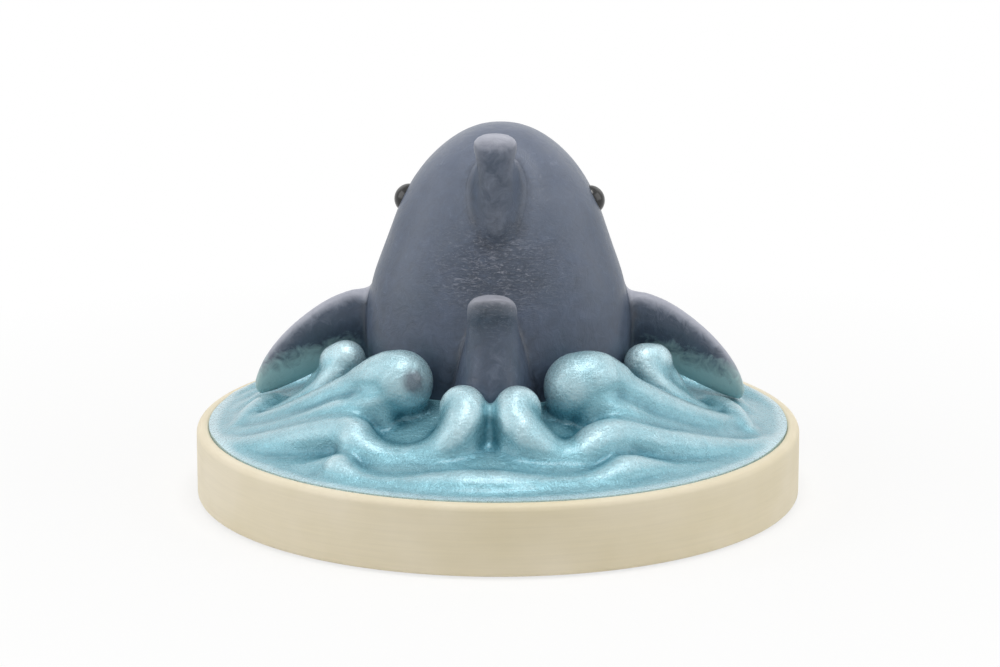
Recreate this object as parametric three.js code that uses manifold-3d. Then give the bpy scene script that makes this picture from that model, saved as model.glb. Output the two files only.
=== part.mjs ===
// A shark figurine: a plump shark rising out of a round pool of curling waves, set in a painted wooden base.
// The shark is cast in parts that plug together: a body, a dorsal fin and two pectoral fins on pegs, a tail
// that stands in its own pocket, bead eyes on stems, and two strips of teeth in the mouth. The sea is one
// casting that drops into the dish of the base. One screw from below holds base, sea and body together, a
// dowel keeps the sea from turning, and a felt pad covers the screw.
// Millimetres, +Z up, origin under the middle of the felt pad. The shark looks towards +Y.
import * as THREE from "three";
import { mergeVertices } from "three/addons/utils/BufferGeometryUtils.js";
import Module from "manifold-3d";

const wasm = await Module();
wasm.setup();

// Fits
const gap = 0.3; // between two castings, all round

// Base and pad
const baseRadius = 50;
const baseHeight = 11.7;
const rimWidth = 2;
const rimRound = 1.2;
const footRound = 0.8;
const dishDepth = 2.8;
const padRadius = 43;
const padThickness = 1.5;
const padProud = 0.3; // how far the pad stands out below the wood

// Screw, washer and dowel
const screwRadius = 2;
const screwLength = 25;
const headRadius = 3.8;
const headHeight = 2.6;
const headRound = 1.2; // bevel round the head
const slotWidth = 0.9;
const slotDepth = 0.9;
const washerRadius = 5;
const washerThickness = 0.8;
const counterboreDepth = 3.8; // over the pad
const dowelRadius = 1.5;
const dowelLength = 6;
const dowelReach = 30; // from the middle of the base

// Sea
const seaPlate = 3.3; // casting left under the shark
const seaEdge = 0.4; // how far the water's edge lies below the rim
const seaSwell = 7.5; // how far the water rises from its edge to the shark
const crestHeight = 16.8; // top of the tallest curl above the rim
const curlRadius = 5.6; // the round head of the tallest curl
const rollSkirt = 0.5; // how far a roll's foot spreads past its crest, as a share of the crest's radius

// Shark's body
const bodyHeight = 48;
const bodyHalfWidth = 21.9;
const bodyBack = 16.5; // from the middle of the base to the back, at the water
const bodyFront = 23; // from the middle of the base to the tip of the snout

// Dorsal fin
const dorsalLevel = 38.3; // middle of its root above the body's foot
const dorsalHeight = 9.8; // out from the back
const dorsalChord = 16.5; // along the back
const dorsalThickness = 6.4;

// Tail
const tailHeight = 26;
const tailThickness = 9.6;
const tailChord = 17.2; // front part of it lies inside the line of the back

// Pectoral fins
const shoulderLevel = 21.2; // top of the root above the body's foot
const finForward = 3; // top of the root in front of the middle of the base
const finReach = 41; // tip from the middle of the body
const finRootX = 16; // root from the middle of the body
const finDroop = 19; // tip below the top of the root
const finThickness = 5.2;
const finSweep = 3.4; // tip behind root
const finTilt = 16; // degrees, lower edge forward

// Pegs of the fins and of the tail
const pegRadius = 1.6;
const pegLength = 5; // inside the body
const pegRoot = 2; // inside the fin
const tailPegLevel = 9.4; // above the body's foot
const finPegDrop = 6.7; // below the top of the pectoral fin's root

// Eyes
const eyeRadius = 2.5;
const eyeSunk = 1.3; // how far an eye's centre lies under the skin
const eyeLevel = 35.8; // above the body's foot
const eyeForward = 5.5; // in front of the middle of the base
const stemRadius = 0.7;
const stemLength = 4;

// Mouth and teeth
const mouthHalfWidth = 10.5;
const mouthLevel = 31.5; // corners above the body's foot
const upperLipDrop = 3; // middle of the upper lip below the corners
const lowerLipDrop = 10; // middle of the lower lip below the corners
const mouthDepth = 3;
const toothHeight = 2.2;
const toothSetback = 0.8; // from the skin of the lips back to the teeth
const toothRow = 0.76; // half length of a row of teeth, as a share of the mouth's half width
const upperTeeth = 9;
const lowerTeeth = 8;

// Gill slits
const gillSlits = 3;
const gillRadius = 0.45;
const gillLength = 6;
const gillTip = 0.3; // radius of a slit's ends, as a share of its middle's
const gillBow = 0.9; // forward bow of a slit
const gillSpacing = 2.5;
const gillLevel = 26.3; // middle above the body's foot

// Levels that these sizes give
const woodFoot = padProud;
const recessDepth = padThickness - padProud;
const dishLevel = woodFoot + baseHeight - dishDepth;
const sharkFoot = dishLevel + seaPlate;
const washerLevel = padThickness + counterboreDepth - washerThickness;
const seaRadius = baseRadius - rimWidth - gap;

// Solids

// The solid inside a closed geometry, with its faces turned outwards.
function solidOf(geometry) {
  const bare = new THREE.BufferGeometry().setAttribute("position", geometry.getAttribute("position"));
  bare.setIndex(geometry.getIndex());
  const merged = mergeVertices(bare, 1e-4);
  const vertProperties = merged.attributes.position.array;
  const faces = new Uint32Array(merged.index.array);
  const solid = new wasm.Manifold(new wasm.Mesh({ numProp: 3, vertProperties, triVerts: faces }));
  if (solid.volume() > 0) return solid;
  return new wasm.Manifold(new wasm.Mesh({ numProp: 3, vertProperties, triVerts: faces.reverse() }));
}

const joined = (solids) => solids.reduce((all, one) => all.add(one));

const cutBy = (solid, cutters) => cutters.reduce((left, one) => left.subtract(one), solid);

const raised = (solid, height) => solid.translate([0, 0, height]);

const bothSides = [-1, 1];

const mirrored = (solid, side) => (side > 0 ? solid : solid.mirror([1, 0, 0]));

// A skin over rings of points, each ring with the same count, closed with a fan at each end.
function skin(rings) {
  const sides = rings[0].length;
  const points = rings.flat();
  const faces = [];
  for (let r = 0; r + 1 < rings.length; r++)
    for (let s = 0; s < sides; s++) {
      const a = r * sides + s;
      const b = r * sides + ((s + 1) % sides);
      faces.push(a, b, b + sides, a, b + sides, a + sides);
    }
  for (const r of [0, rings.length - 1]) {
    const middle = new THREE.Vector3();
    rings[r].forEach((point) => middle.addScaledVector(point, 1 / sides));
    points.push(middle);
    for (let s = 0; s < sides; s++) {
      const rim = [r * sides + s, r * sides + ((s + 1) % sides)];
      if (r === 0) rim.reverse();
      faces.push(points.length - 1, ...rim);
    }
  }
  const geometry = new THREE.BufferGeometry().setFromPoints(points);
  geometry.setIndex(faces);
  return solidOf(geometry);
}

// A row of values at share u of the way through a table of such rows, on a Catmull-Rom curve.
function between(table, u) {
  const last = table.length - 1;
  const reached = Math.min(Math.max(u, 0), 1) * last;
  const i = Math.min(Math.floor(reached), last - 1);
  const t = reached - i;
  const row = (k) => table[Math.min(Math.max(k, 0), last)];
  return table[i].map((_, n) => {
    const [a, b, c, d] = [row(i - 1)[n], row(i)[n], row(i + 1)[n], row(i + 2)[n]];
    return b + 0.5 * t * (c - a + t * (2 * a - 5 * b + 4 * c - d + t * (3 * b - a - 3 * c + d)));
  });
}

// Points of a rounded section: an ellipse for an exponent of 2, boxier above that.
function sectionPoints(sides, exponent, pointAt) {
  return Array.from({ length: sides }, (_, i) => {
    const angle = (2 * Math.PI * i) / sides;
    const [c, s] = [Math.cos(angle), Math.sin(angle)];
    const share = (v) => Math.sign(v) * Math.abs(v) ** (2 / exponent);
    return pointAt(share(c), share(s));
  });
}

// A solid turned about Z from a profile of [radius, height] pairs that starts and ends on the axis.
function turned(profile, sides) {
  const points = profile.map(([radius, height]) => new THREE.Vector2(radius, height));
  return solidOf(new THREE.LatheGeometry(points, sides).rotateX(Math.PI / 2));
}

// Points of an arc in such a profile, between two angles in degrees.
function arc(centre, height, radius, from, to, steps) {
  return Array.from({ length: steps + 1 }, (_, i) => {
    const angle = THREE.MathUtils.degToRad(from + ((to - from) * i) / steps);
    return [centre + radius * Math.cos(angle), height + radius * Math.sin(angle)];
  });
}

function rod(radius, low, high, sides = 24) {
  const geometry = new THREE.CylinderGeometry(radius, radius, high - low, sides).rotateX(Math.PI / 2);
  return solidOf(geometry.translate(0, 0, (low + high) / 2));
}

// A rod from a point along a direction.
function peg(start, direction, radius, length, sides = 14) {
  const geometry = new THREE.CylinderGeometry(radius, radius, length, sides).translate(0, length / 2, 0);
  const turn = new THREE.Quaternion().setFromUnitVectors(new THREE.Vector3(0, 1, 0), direction);
  return solidOf(geometry.applyQuaternion(turn).translate(...start));
}

// Shark's body, in heights above its foot

// Each station: height, half width, back, front and the place of the widest line, as shares of the body's
// sizes.
const bodyStations = [
  [0, 0.9, 0.94, 0.67, 0.04],
  [0.17, 0.975, 0.97, 0.74, 0.04],
  [0.33, 1, 0.93, 0.75, 0.04],
  [0.475, 0.96, 0.825, 0.73, 0.05],
  [0.58, 0.88, 0.72, 0.75, 0.09],
  [0.66, 0.815, 0.612, 0.85, 0.13],
  [0.745, 0.744, 0.485, 0.965, 0.17],
  [0.828, 0.638, 0.315, 1, 0.226],
  [0.9, 0.5, 0.127, 0.92, 0.274],
  [0.957, 0.335, -0.1, 0.75, 0.32],
  [0.99, 0.165, -0.3, 0.56, 0.36],
  [1, 0, -0.52, 0.37, 0.37],
];
const bodyRings = 19;
const bodySides = 28;
const bodyExponent = 2.2;
const crownward = 1.15; // above 1, the rings crowd towards the crown

// The level section at share u of the way up, grown all round by a clearance.
function bodySection(u, grown = 0) {
  const [height, width, back, front, middle] = between(bodyStations, u);
  return {
    height: height * (bodyHeight + grown),
    half: Math.max(width, 0) * bodyHalfWidth + grown,
    back: -back * bodyBack - grown,
    front: front * bodyFront + grown,
    middle: middle * bodyFront,
  };
}

function body(grown = 0) {
  const rings = Array.from({ length: bodyRings + 1 }, (_, r) => {
    const { height, half, back, front, middle } = bodySection(1 - (1 - r / bodyRings) ** crownward, grown);
    return sectionPoints(bodySides, bodyExponent, (across, along) => {
      const reach = along > 0 ? front - middle : middle - back;
      return new THREE.Vector3(half * across, middle + reach * along, height);
    });
  });
  return skin(rings);
}

// The section at a height above the foot.
function sectionAt(height) {
  let [low, high] = [0, 1];
  while (high - low > 1e-9) {
    const half = (low + high) / 2;
    if (bodySection(half).height < height) low = half;
    else high = half;
  }
  return bodySection(low);
}

// The half width of the body at a height above its foot and a place along Y.
function wallAt(height, y) {
  const { half, back, front, middle } = sectionAt(height);
  const reach = y > middle ? front - middle : middle - back;
  const share = Math.min(Math.abs((y - middle) / reach), 1);
  return half * (1 - share ** bodyExponent) ** (1 / bodyExponent);
}

// Fins

// A fin, skinned over sections that run from root to tip. Each section has a middle, half its chord as a
// vector and half its thickness as a vector.
const finRings = 10;
const finSides = 16;
const finExponent = 2.5;

function fin(sections, grown) {
  const table = sections.map(({ middle, chord, thick }) => [...middle, ...chord, ...thick]);
  const rings = Array.from({ length: finRings + 1 }, (_, r) => {
    const row = between(table, r / finRings);
    const [middle, chord, thick] = [0, 3, 6].map((n) => new THREE.Vector3(...row.slice(n, n + 3)));
    chord.setLength(chord.length() + grown);
    thick.setLength(thick.length() + grown);
    return sectionPoints(finSides, finExponent, (along, across) =>
      middle.clone().addScaledVector(chord, along).addScaledVector(thick, across),
    );
  });
  return skin(rings);
}

// The dorsal fin stands on the slope of the back, which is measured this far below and above its root.
const slopeSpan = 6;
const dorsalRoot = sectionAt(dorsalLevel);
const below = sectionAt(dorsalLevel - slopeSpan);
const above = sectionAt(dorsalLevel + slopeSpan);
const upBack = new THREE.Vector3(0, above.back - below.back, above.height - below.height).normalize();
const offBack = new THREE.Vector3(0, -upBack.z, upBack.y);

function onBack(along, out) {
  return new THREE.Vector3(0, dorsalRoot.back, dorsalRoot.height)
    .addScaledVector(upBack, along)
    .addScaledVector(offBack, out);
}

// Each row: how far out the section is, its lower and upper end along the back and its half thickness, as
// shares.
const dorsalRows = [
  [-0.45, -0.45, 0.42, 0.95],
  [-0.03, -0.48, 0.51, 0.86],
  [0.14, -0.38, 0.49, 0.6],
  [0.38, -0.2, 0.46, 0.52],
  [0.66, 0, 0.44, 0.5],
  [0.88, 0.18, 0.45, 0.46],
  [1, 0.34, 0.44, 0.26],
];

function dorsalFin(grown = 0) {
  const sections = dorsalRows.map(([out, lower, upper, thickness]) => ({
    middle: onBack(((lower + upper) / 2) * dorsalChord, out * dorsalHeight),
    chord: upBack.clone().multiplyScalar(((upper - lower) / 2) * dorsalChord),
    thick: new THREE.Vector3(thickness * dorsalThickness, 0, 0),
  }));
  return fin(sections, grown);
}

const dorsalPeg = (grown = 0) =>
  peg(onBack(0, pegRoot), offBack.clone().negate(), pegRadius + grown, pegRoot + pegLength + grown);

// The tail rises out of the water behind the back. Each row: height, rear and front end behind the line of
// the back, and half thickness, as shares.
const tailRows = [
  [0, 0.5, -0.5, 0.72],
  [0.2, 0.53, -0.5, 0.66],
  [0.42, 0.5, -0.42, 0.52],
  [0.62, 0.43, -0.3, 0.4],
  [0.8, 0.4, -0.1, 0.35],
  [0.93, 0.46, 0.12, 0.33],
  [1, 0.47, 0.24, 0.2],
];

function tailFin(grown = 0) {
  const sections = tailRows.map(([height, rear, front, thickness]) => ({
    middle: new THREE.Vector3(0, -bodyBack - ((rear + front) / 2) * tailChord, height * tailHeight),
    chord: new THREE.Vector3(0, ((front - rear) / 2) * tailChord, 0),
    thick: new THREE.Vector3(thickness * tailThickness, 0, 0),
  }));
  return fin(sections, grown);
}

function tailPeg(grown = 0) {
  const start = new THREE.Vector3(0, sectionAt(tailPegLevel).back - pegRoot, tailPegLevel);
  return peg(start, new THREE.Vector3(0, 1, 0), pegRadius + grown, pegRoot + pegLength + grown);
}

// A pectoral fin hangs out over the water like an arm, its flat side to the rear. Each row: how far out and
// down the upper edge is, then the lower edge, and the half thickness, as shares.
const finRows = [
  [0, -0.03, 0, 0.74, 0.5],
  [0.25, -0.01, 0.22, 0.7, 0.5],
  [0.47, 0.085, 0.4, 0.71, 0.48],
  [0.66, 0.255, 0.56, 0.79, 0.44],
  [0.82, 0.455, 0.71, 0.885, 0.38],
  [0.93, 0.655, 0.85, 0.965, 0.3],
  [0.99, 0.84, 0.94, 0.995, 0.22],
  [1, 0.93, 0.97, 1, 0.1],
];

function pectoralFin(grown = 0) {
  const tilt = THREE.MathUtils.degToRad(finTilt);
  const flatSide = new THREE.Vector3(0, -Math.cos(tilt), -Math.sin(tilt));
  const edge = (out, down) => {
    const y = finForward - finSweep * out ** 2 + down * finDroop * Math.tan(tilt);
    return new THREE.Vector3(finRootX + out * (finReach - finRootX), y, shoulderLevel - down * finDroop);
  };
  const sections = finRows.map(([out, down, lowerOut, lowerDown, thickness]) => {
    const [upper, lower] = [edge(out, down), edge(lowerOut, lowerDown)];
    return {
      middle: upper.clone().lerp(lower, 0.5),
      chord: upper.clone().sub(lower).multiplyScalar(0.5),
      thick: flatSide.clone().multiplyScalar(thickness * finThickness),
    };
  });
  return fin(sections, grown);
}

function finPeg(grown = 0) {
  const level = shoulderLevel - finPegDrop;
  const y = finForward + finPegDrop * Math.tan(THREE.MathUtils.degToRad(finTilt));
  const start = new THREE.Vector3(wallAt(level, y) + pegRoot, y, level);
  return peg(start, new THREE.Vector3(-1, 0, 0), pegRadius + grown, pegRoot + pegLength + grown);
}

// Eyes: a bead on a stem that points into the head, about the bead's middle

const eyePlace = new THREE.Vector3(wallAt(eyeLevel, eyeForward) - eyeSunk, eyeForward, eyeLevel);

function eye(grown = 0) {
  const bead = solidOf(new THREE.SphereGeometry(eyeRadius + grown, 16, 10));
  const inwards = new THREE.Vector3(-1, 0, 0);
  return bead.add(peg([0, 0, 0], inwards, stemRadius + grown, eyeRadius + stemLength + grown, 10));
}

// Mouth and teeth

// An outline in X and Z, drawn out along Y from inside the head to well in front of it.
function frontCut(outline) {
  const [start, depth] = [0.2 * bodyFront, 2 * bodyFront];
  const geometry = new THREE.ExtrudeGeometry(outline, { depth, bevelEnabled: false, curveSegments: 10 });
  return solidOf(geometry.rotateX(Math.PI / 2).translate(0, start + depth, 0));
}

// The height at x of a lip whose middle hangs below the corners of the mouth.
const lipAt = (x, drop) => mouthLevel - drop * (1 - (x / mouthHalfWidth) ** 2);

function mouthCut() {
  const outline = new THREE.Shape();
  outline.moveTo(-mouthHalfWidth, mouthLevel);
  outline.quadraticCurveTo(0, mouthLevel - 2 * lowerLipDrop, mouthHalfWidth, mouthLevel);
  outline.quadraticCurveTo(0, mouthLevel - 2 * upperLipDrop, -mouthHalfWidth, mouthLevel);
  return frontCut(outline).subtract(body(-mouthDepth));
}

// A row of pointed teeth along a lip. The upper row points down, which is way -1, and the lower row up.
function teeth(count, drop, way) {
  const half = mouthHalfWidth * toothRow;
  const gumShare = 0.3; // height of the strip between two teeth, as a share of a tooth
  const xs = Array.from({ length: 2 * count + 1 }, (_, i) => half * (i / count - 1));
  const edge = (x, height) => {
    const taper = 1 - (x / mouthHalfWidth) ** 2;
    return new THREE.Vector2(x, lipAt(x, drop) + way * (gap + height * taper));
  };
  const gum = xs.map((x) => edge(x, 0));
  const points = xs.map((x, i) => edge(x, toothHeight * (i % 2 ? 1 : gumShare)));
  const outline = new THREE.Shape([...gum, ...points.reverse()]);
  return frontCut(outline)
    .intersect(body(-toothSetback))
    .subtract(body(gap - mouthDepth));
}

// Gill slits: grooves that follow the skin beside the head, each behind the next

function gill(n) {
  const rings = 6;
  const slit = Array.from({ length: rings }, (_, i) => {
    const t = i / (rings - 1) - 0.5;
    const height = gillLevel + t * gillLength;
    const y = eyeForward + n * gillSpacing + gillBow * Math.cos(Math.PI * t);
    const middle = new THREE.Vector3(wallAt(height, y), y, height);
    const radius = gillRadius * (gillTip + (1 - gillTip) * Math.cos(Math.PI * t));
    return sectionPoints(5, 2, (c, s) => middle.clone().add(new THREE.Vector3(radius * c, radius * s, 0)));
  });
  return skin(slit);
}

// Sea, in heights above its underside

const rimHeight = dishDepth;

// The water without its waves: distance from the middle and rise, as shares.
const waterRows = [
  [0, 1],
  [0.36, 1],
  [0.45, 0.93],
  [0.6, 0.68],
  [0.78, 0.38],
  [0.92, 0.12],
  [1, 0],
];
const waterSides = 40;

// A place on the water: a bearing in degrees from straight behind the shark towards its right side, and a
// reach from 0 at the shark's skin to 1 at the edge of the water. Waves in front of the shark mirror those
// behind it.
const waterlineShare = 0.12; // share of the way up the body where the water meets it
const waterline = bodySection(waterlineShare);

function seaPlace(bearing, reach, inFront) {
  const angle = THREE.MathUtils.degToRad(inFront ? 180 - bearing : bearing);
  const [x, y] = [Math.sin(angle), -Math.cos(angle)];
  const { half, back, front, middle } = waterline;
  const depth = y < 0 ? middle - back : front - middle;
  const a = (x / half) ** 2 + (y / depth) ** 2;
  const b = (y * middle) / depth ** 2;
  const c = (middle / depth) ** 2 - 1;
  const skinReach = (b + Math.sqrt(b ** 2 - a * c)) / a;
  const distance = skinReach + reach * (seaRadius - skinReach);
  return new THREE.Vector3(x * distance, y * distance, 0);
}

// The middle of a crest and its radius. Each row of a wave holds bearing, reach, the height of the crest
// above the rim as a share of the tallest, and its radius as a share of the biggest curl's.
function crest([bearing, reach, rise, size], inFront) {
  const radius = size * curlRadius;
  const { x, y } = seaPlace(bearing, reach, inFront);
  return [x, y, rimHeight + rise * crestHeight - radius, radius];
}

// The way that a table of crests runs at share u of its length.
const lookAhead = 0.02; // share of a wave on either side that gives its direction

function wayAt(table, u) {
  const [ahead, behind] = [u + lookAhead, u - lookAhead].map((share) => between(table, share));
  return new THREE.Vector3(ahead[0] - behind[0], ahead[1] - behind[1], ahead[2] - behind[2]);
}

// Shares of the way along a wave, each with the turn round its rounded start or end, in degrees.
function stopsAlong(steps, startTurns, endTurns) {
  return [
    ...startTurns.map((turn) => [0, -turn]).reverse(),
    ...Array.from({ length: steps + 1 }, (_, i) => [i / steps, 0]),
    ...endTurns.map((turn) => [1, turn]),
  ];
}

// A roll of water: a rounded crest on a skirt that spreads as it runs down into the casting.
const crestPoints = 6;
const crestOverhang = 14; // degrees that the round of a crest goes on below its middle
const rollTurns = [50]; // the thinner ring round each end
const skirtSlope = 0.16; // how much further a foot spreads for each millimetre that its crest is higher

function roll(rows, inFront, steps) {
  const table = rows.map((row) => crest(row, inFront));
  const foot = seaPlate / 2;
  return skin(
    stopsAlong(steps, rollTurns, rollTurns).map(([u, turn]) => {
      const [x, y, z, full] = between(table, u);
      const along = wayAt(table, u).setZ(0).normalize();
      const across = new THREE.Vector3(along.y, -along.x, 0);
      const thinned = Math.cos(THREE.MathUtils.degToRad(turn));
      const past = full * Math.sin(THREE.MathUtils.degToRad(turn));
      const middle = new THREE.Vector3(x, y, 0).addScaledVector(along, past);
      const round = arc(0, z, full * thinned, -crestOverhang, 180 + crestOverhang, crestPoints - 1);
      const [side, start] = round[0];
      const reach = side + thinned * (full * rollSkirt + (start - foot) * skirtSlope);
      const ring = [...round, [-reach, foot], [reach, foot]];
      return ring.map(([out, height]) =>
        middle.clone().addScaledVector(across, out).setZ(Math.max(height, foot)),
      );
    }),
  );
}

// The head of a curl: round all about, along the rows and past both ends.
const headSteps = 3;
const headSides = 12;
const headTurns = [28, 60];

function curlHead(rows, inFront) {
  const table = rows.map((row) => crest(row, inFront));
  return skin(
    stopsAlong(headSteps, rollTurns, headTurns).map(([u, turn]) => {
      const [x, y, z, full] = between(table, u);
      const along = wayAt(table, u).normalize();
      const across = new THREE.Vector3(along.y, -along.x, 0).normalize();
      const up = new THREE.Vector3().crossVectors(across, along);
      const radius = full * Math.cos(THREE.MathUtils.degToRad(turn));
      const past = full * Math.sin(THREE.MathUtils.degToRad(turn));
      const middle = new THREE.Vector3(x, y, z).addScaledVector(along, past);
      return sectionPoints(headSides, 2, (c, s) =>
        middle.clone().addScaledVector(across, radius * c).addScaledVector(up, radius * s),
      );
    }),
  );
}

// The waves. The tall curl stands beside the tail, and a fold comes out from under it. The winding roll ends
// in the crest at the foot of the tail, where the mound lies in the middle. The low swell runs along the edge
// from the left side to the right. The side curl and its strand come up beside the pectoral fin, whose tip
// dips into the tip swell.
const rolls = {
  tallCurlLeft: [
    [83, 0.78, 0.03, 0.34], [76, 0.65, 0.2, 0.42], [70, 0.53, 0.37, 0.46], [64, 0.44, 0.52, 0.5],
    [58, 0.37, 0.65, 0.53], [52, 0.31, 0.77, 0.58],
  ],
  tallCurlRight: [
    [83, 0.73, 0.07, 0.34], [76, 0.61, 0.25, 0.44], [69, 0.5, 0.4, 0.52], [62, 0.42, 0.53, 0.56],
    [56, 0.35, 0.67, 0.6], [50, 0.29, 0.82, 0.65],
  ],
  underFoldLeft: [
    [76, 0.79, 0.04, 0.3], [70, 0.7, 0.17, 0.36], [63, 0.62, 0.3, 0.4], [56, 0.56, 0.42, 0.42],
    [50, 0.5, 0.53, 0.44], [45, 0.44, 0.58, 0.46], [40, 0.34, 0.71, 0.5],
  ],
  underFoldRight: [
    [76, 0.72, 0, 0.3], [71, 0.64, 0.07, 0.34], [65, 0.59, 0.18, 0.38], [58, 0.53, 0.3, 0.41],
    [52, 0.48, 0.41, 0.43], [46, 0.44, 0.54, 0.45], [42, 0.4, 0.6, 0.46], [37, 0.32, 0.75, 0.5],
  ],
  windingRollLeft: [
    [70, 0.88, 0.12, 0.38], [61, 0.78, 0.26, 0.5], [53, 0.68, 0.36, 0.58], [46, 0.61, 0.42, 0.62],
    [40, 0.57, 0.46, 0.65], [36, 0.6, 0.42, 0.66], [32, 0.61, 0.31, 0.66], [27, 0.59, 0.22, 0.68],
    [21, 0.56, 0.22, 0.72], [16, 0.53, 0.3, 0.78], [11.5, 0.49, 0.6, 0.84], [9, 0.43, 0.74, 0.9],
    [9, 0.37, 0.8, 0.92],
  ],
  windingRollRight: [
    [71, 0.84, 0.09, 0.36], [64, 0.78, 0.18, 0.46], [57, 0.71, 0.25, 0.54], [51, 0.65, 0.31, 0.6],
    [46, 0.61, 0.36, 0.64], [40, 0.55, 0.45, 0.68], [34, 0.54, 0.48, 0.7], [28, 0.555, 0.43, 0.7],
    [24, 0.56, 0.33, 0.72], [20, 0.55, 0.28, 0.76], [12, 0.49, 0.6, 0.84], [9.5, 0.43, 0.74, 0.9],
    [9, 0.37, 0.8, 0.92],
  ],
  sideCurlLeft: [
    [88, 0.75, 0.05, 0.3], [84, 0.6, 0.18, 0.38], [81, 0.48, 0.32, 0.44], [78.5, 0.38, 0.46, 0.5],
    [77, 0.29, 0.66, 0.56], [77, 0.23, 0.77, 0.58],
  ],
  sideCurlRight: [
    [88, 0.68, 0.11, 0.3], [84, 0.54, 0.22, 0.38], [81, 0.43, 0.35, 0.44], [78, 0.33, 0.51, 0.5],
    [76.5, 0.25, 0.69, 0.57], [76.5, 0.2, 0.8, 0.59],
  ],
  sideStrandLeft: [
    [87.5, 0.5, 0.08, 0.26], [86, 0.42, 0.29, 0.32], [84.5, 0.36, 0.48, 0.37], [83, 0.3, 0.59, 0.4],
    [82, 0.25, 0.66, 0.4],
  ],
  sideStrandRight: [
    [87.5, 0.46, 0.15, 0.26], [86, 0.38, 0.35, 0.32], [84.5, 0.33, 0.54, 0.37], [83, 0.27, 0.67, 0.4],
    [81.5, 0.22, 0.74, 0.4],
  ],
  tipSwellLeft: [
    [78, 0.82, 0.1, 0.3], [84, 0.73, 0.19, 0.43], [90, 0.64, 0.23, 0.5], [98, 0.59, 0.18, 0.5],
    [107, 0.54, 0.15, 0.46], [116, 0.5, 0.11, 0.4],
  ],
  tipSwellRight: [
    [78, 0.78, 0.15, 0.3], [84, 0.67, 0.25, 0.43], [90, 0.57, 0.27, 0.5], [98, 0.5, 0.22, 0.5],
    [108, 0.45, 0.19, 0.46], [118, 0.42, 0.15, 0.4],
  ],
  lowSwell: [
    [-55, 0.9, -0.05, 0.4], [-47, 0.86, 0, 0.48], [-42, 0.82, 0.07, 0.52], [-38, 0.8, 0.16, 0.55],
    [-35, 0.79, 0.215, 0.575], [-33, 0.825, 0.22, 0.555], [-29, 0.845, 0.13, 0.54], [-24, 0.845, 0.08, 0.555],
    [-18, 0.83, 0.09, 0.58], [-10, 0.81, 0.165, 0.64], [0, 0.8, 0.2, 0.68], [9, 0.8, 0.145, 0.64],
    [17, 0.8, 0.105, 0.6], [23, 0.8, 0.12, 0.575], [28, 0.79, 0.19, 0.58], [32, 0.77, 0.245, 0.595],
    [37, 0.775, 0.2, 0.575], [43, 0.79, 0.11, 0.53], [50, 0.83, 0.05, 0.46], [57, 0.88, 0, 0.39],
  ],
  middleMound: [[0, 0.36, 0.5, 0.6], [0, 0.3, 0.56, 0.66], [0, 0.18, 0.58, 0.66]],
};
const rollSteps = {
  tallCurl: 6,
  underFold: 6,
  windingRoll: 12,
  sideCurl: 6,
  sideStrand: 4,
  tipSwell: 5,
  lowSwell: 20,
  middleMound: 2,
};
const curlHeads = {
  tallLeft: [
    [50, 0.29, 0.82, 0.63], [47, 0.275, 0.88, 0.7], [44, 0.26, 0.94, 0.77], [41, 0.24, 0.985, 0.85],
    [38, 0.22, 1, 0.94],
  ],
  tallRight: [
    [47, 0.26, 0.89, 0.72], [44, 0.245, 0.95, 0.8], [41.5, 0.235, 0.99, 0.89], [39, 0.225, 1, 0.95],
    [36, 0.205, 0.985, 1.025],
  ],
  sideLeft: [[80, 0.205, 0.83, 0.56], [78.5, 0.16, 0.875, 0.61]],
  sideRight: [[80, 0.19, 0.87, 0.575], [78.5, 0.14, 0.875, 0.64]],
};

function sea() {
  const edgeHeight = rimHeight - seaEdge;
  const surface = waterRows.map(([share, rise]) => [share * seaRadius, edgeHeight + rise * seaSwell]);
  const waves = [turned([[0, 0], [seaRadius, 0], ...surface.reverse()], waterSides)];
  const wave = (name, inFront, hand = "") => roll(rolls[name + hand], inFront, rollSteps[name]);
  for (const inFront of [false, true]) {
    waves.push(wave("lowSwell", inFront), wave("middleMound", inFront));
    const names = ["tallCurl", "underFold", "windingRoll"];
    if (!inFront) names.push("sideCurl", "sideStrand", "tipSwell");
    for (const side of bothSides) {
      const hand = side < 0 ? "Left" : "Right";
      const own = names.map((name) => wave(name, inFront, hand));
      own.push(curlHead(curlHeads["tall" + hand], inFront));
      if (!inFront) own.push(curlHead(curlHeads["side" + hand], inFront));
      waves.push(...own.map((one) => mirrored(one, side)));
    }
  }
  return joined(waves);
}

// Base, in heights above the wood's foot

function base() {
  const inner = baseRadius - rimWidth;
  const outline = [
    [0, 0],
    ...arc(baseRadius - footRound, footRound, footRound, -90, 0, 2),
    ...arc(baseRadius - rimRound, baseHeight - rimRound, rimRound, 0, 90, 3),
    [inner, baseHeight],
    [inner, baseHeight - dishDepth],
    [0, baseHeight - dishDepth],
  ];
  const boreFoot = recessDepth + counterboreDepth;
  return cutBy(turned(outline, 60), [
    rod(padRadius + gap, -1, recessDepth, 48),
    rod(washerRadius + gap, 0, boreFoot, 28),
    rod(screwRadius + gap, 0, baseHeight),
    dowel(gap).translate([dowelReach, 0, baseHeight - dishDepth]),
  ]);
}

// Screw, washer and dowel: the screw from under its head, the washer from its foot, the dowel from its middle

function screw() {
  const profile = [
    [0, -headHeight],
    [headRadius - headRound, -headHeight],
    [headRadius, headRound - headHeight],
    [headRadius, 0],
    [screwRadius, 0],
    [screwRadius, screwLength - screwRadius],
    [0, screwLength],
  ];
  const slot = new THREE.BoxGeometry(3 * headRadius, slotWidth, 2 * slotDepth).translate(0, 0, -headHeight);
  return turned(profile, 24).subtract(solidOf(slot));
}

const screwHole = rod(screwRadius + gap, 0, screwLength + gap);

function washer() {
  return rod(washerRadius, 0, washerThickness, 28).subtract(rod(screwRadius + gap, -1, washerThickness + 1));
}

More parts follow.
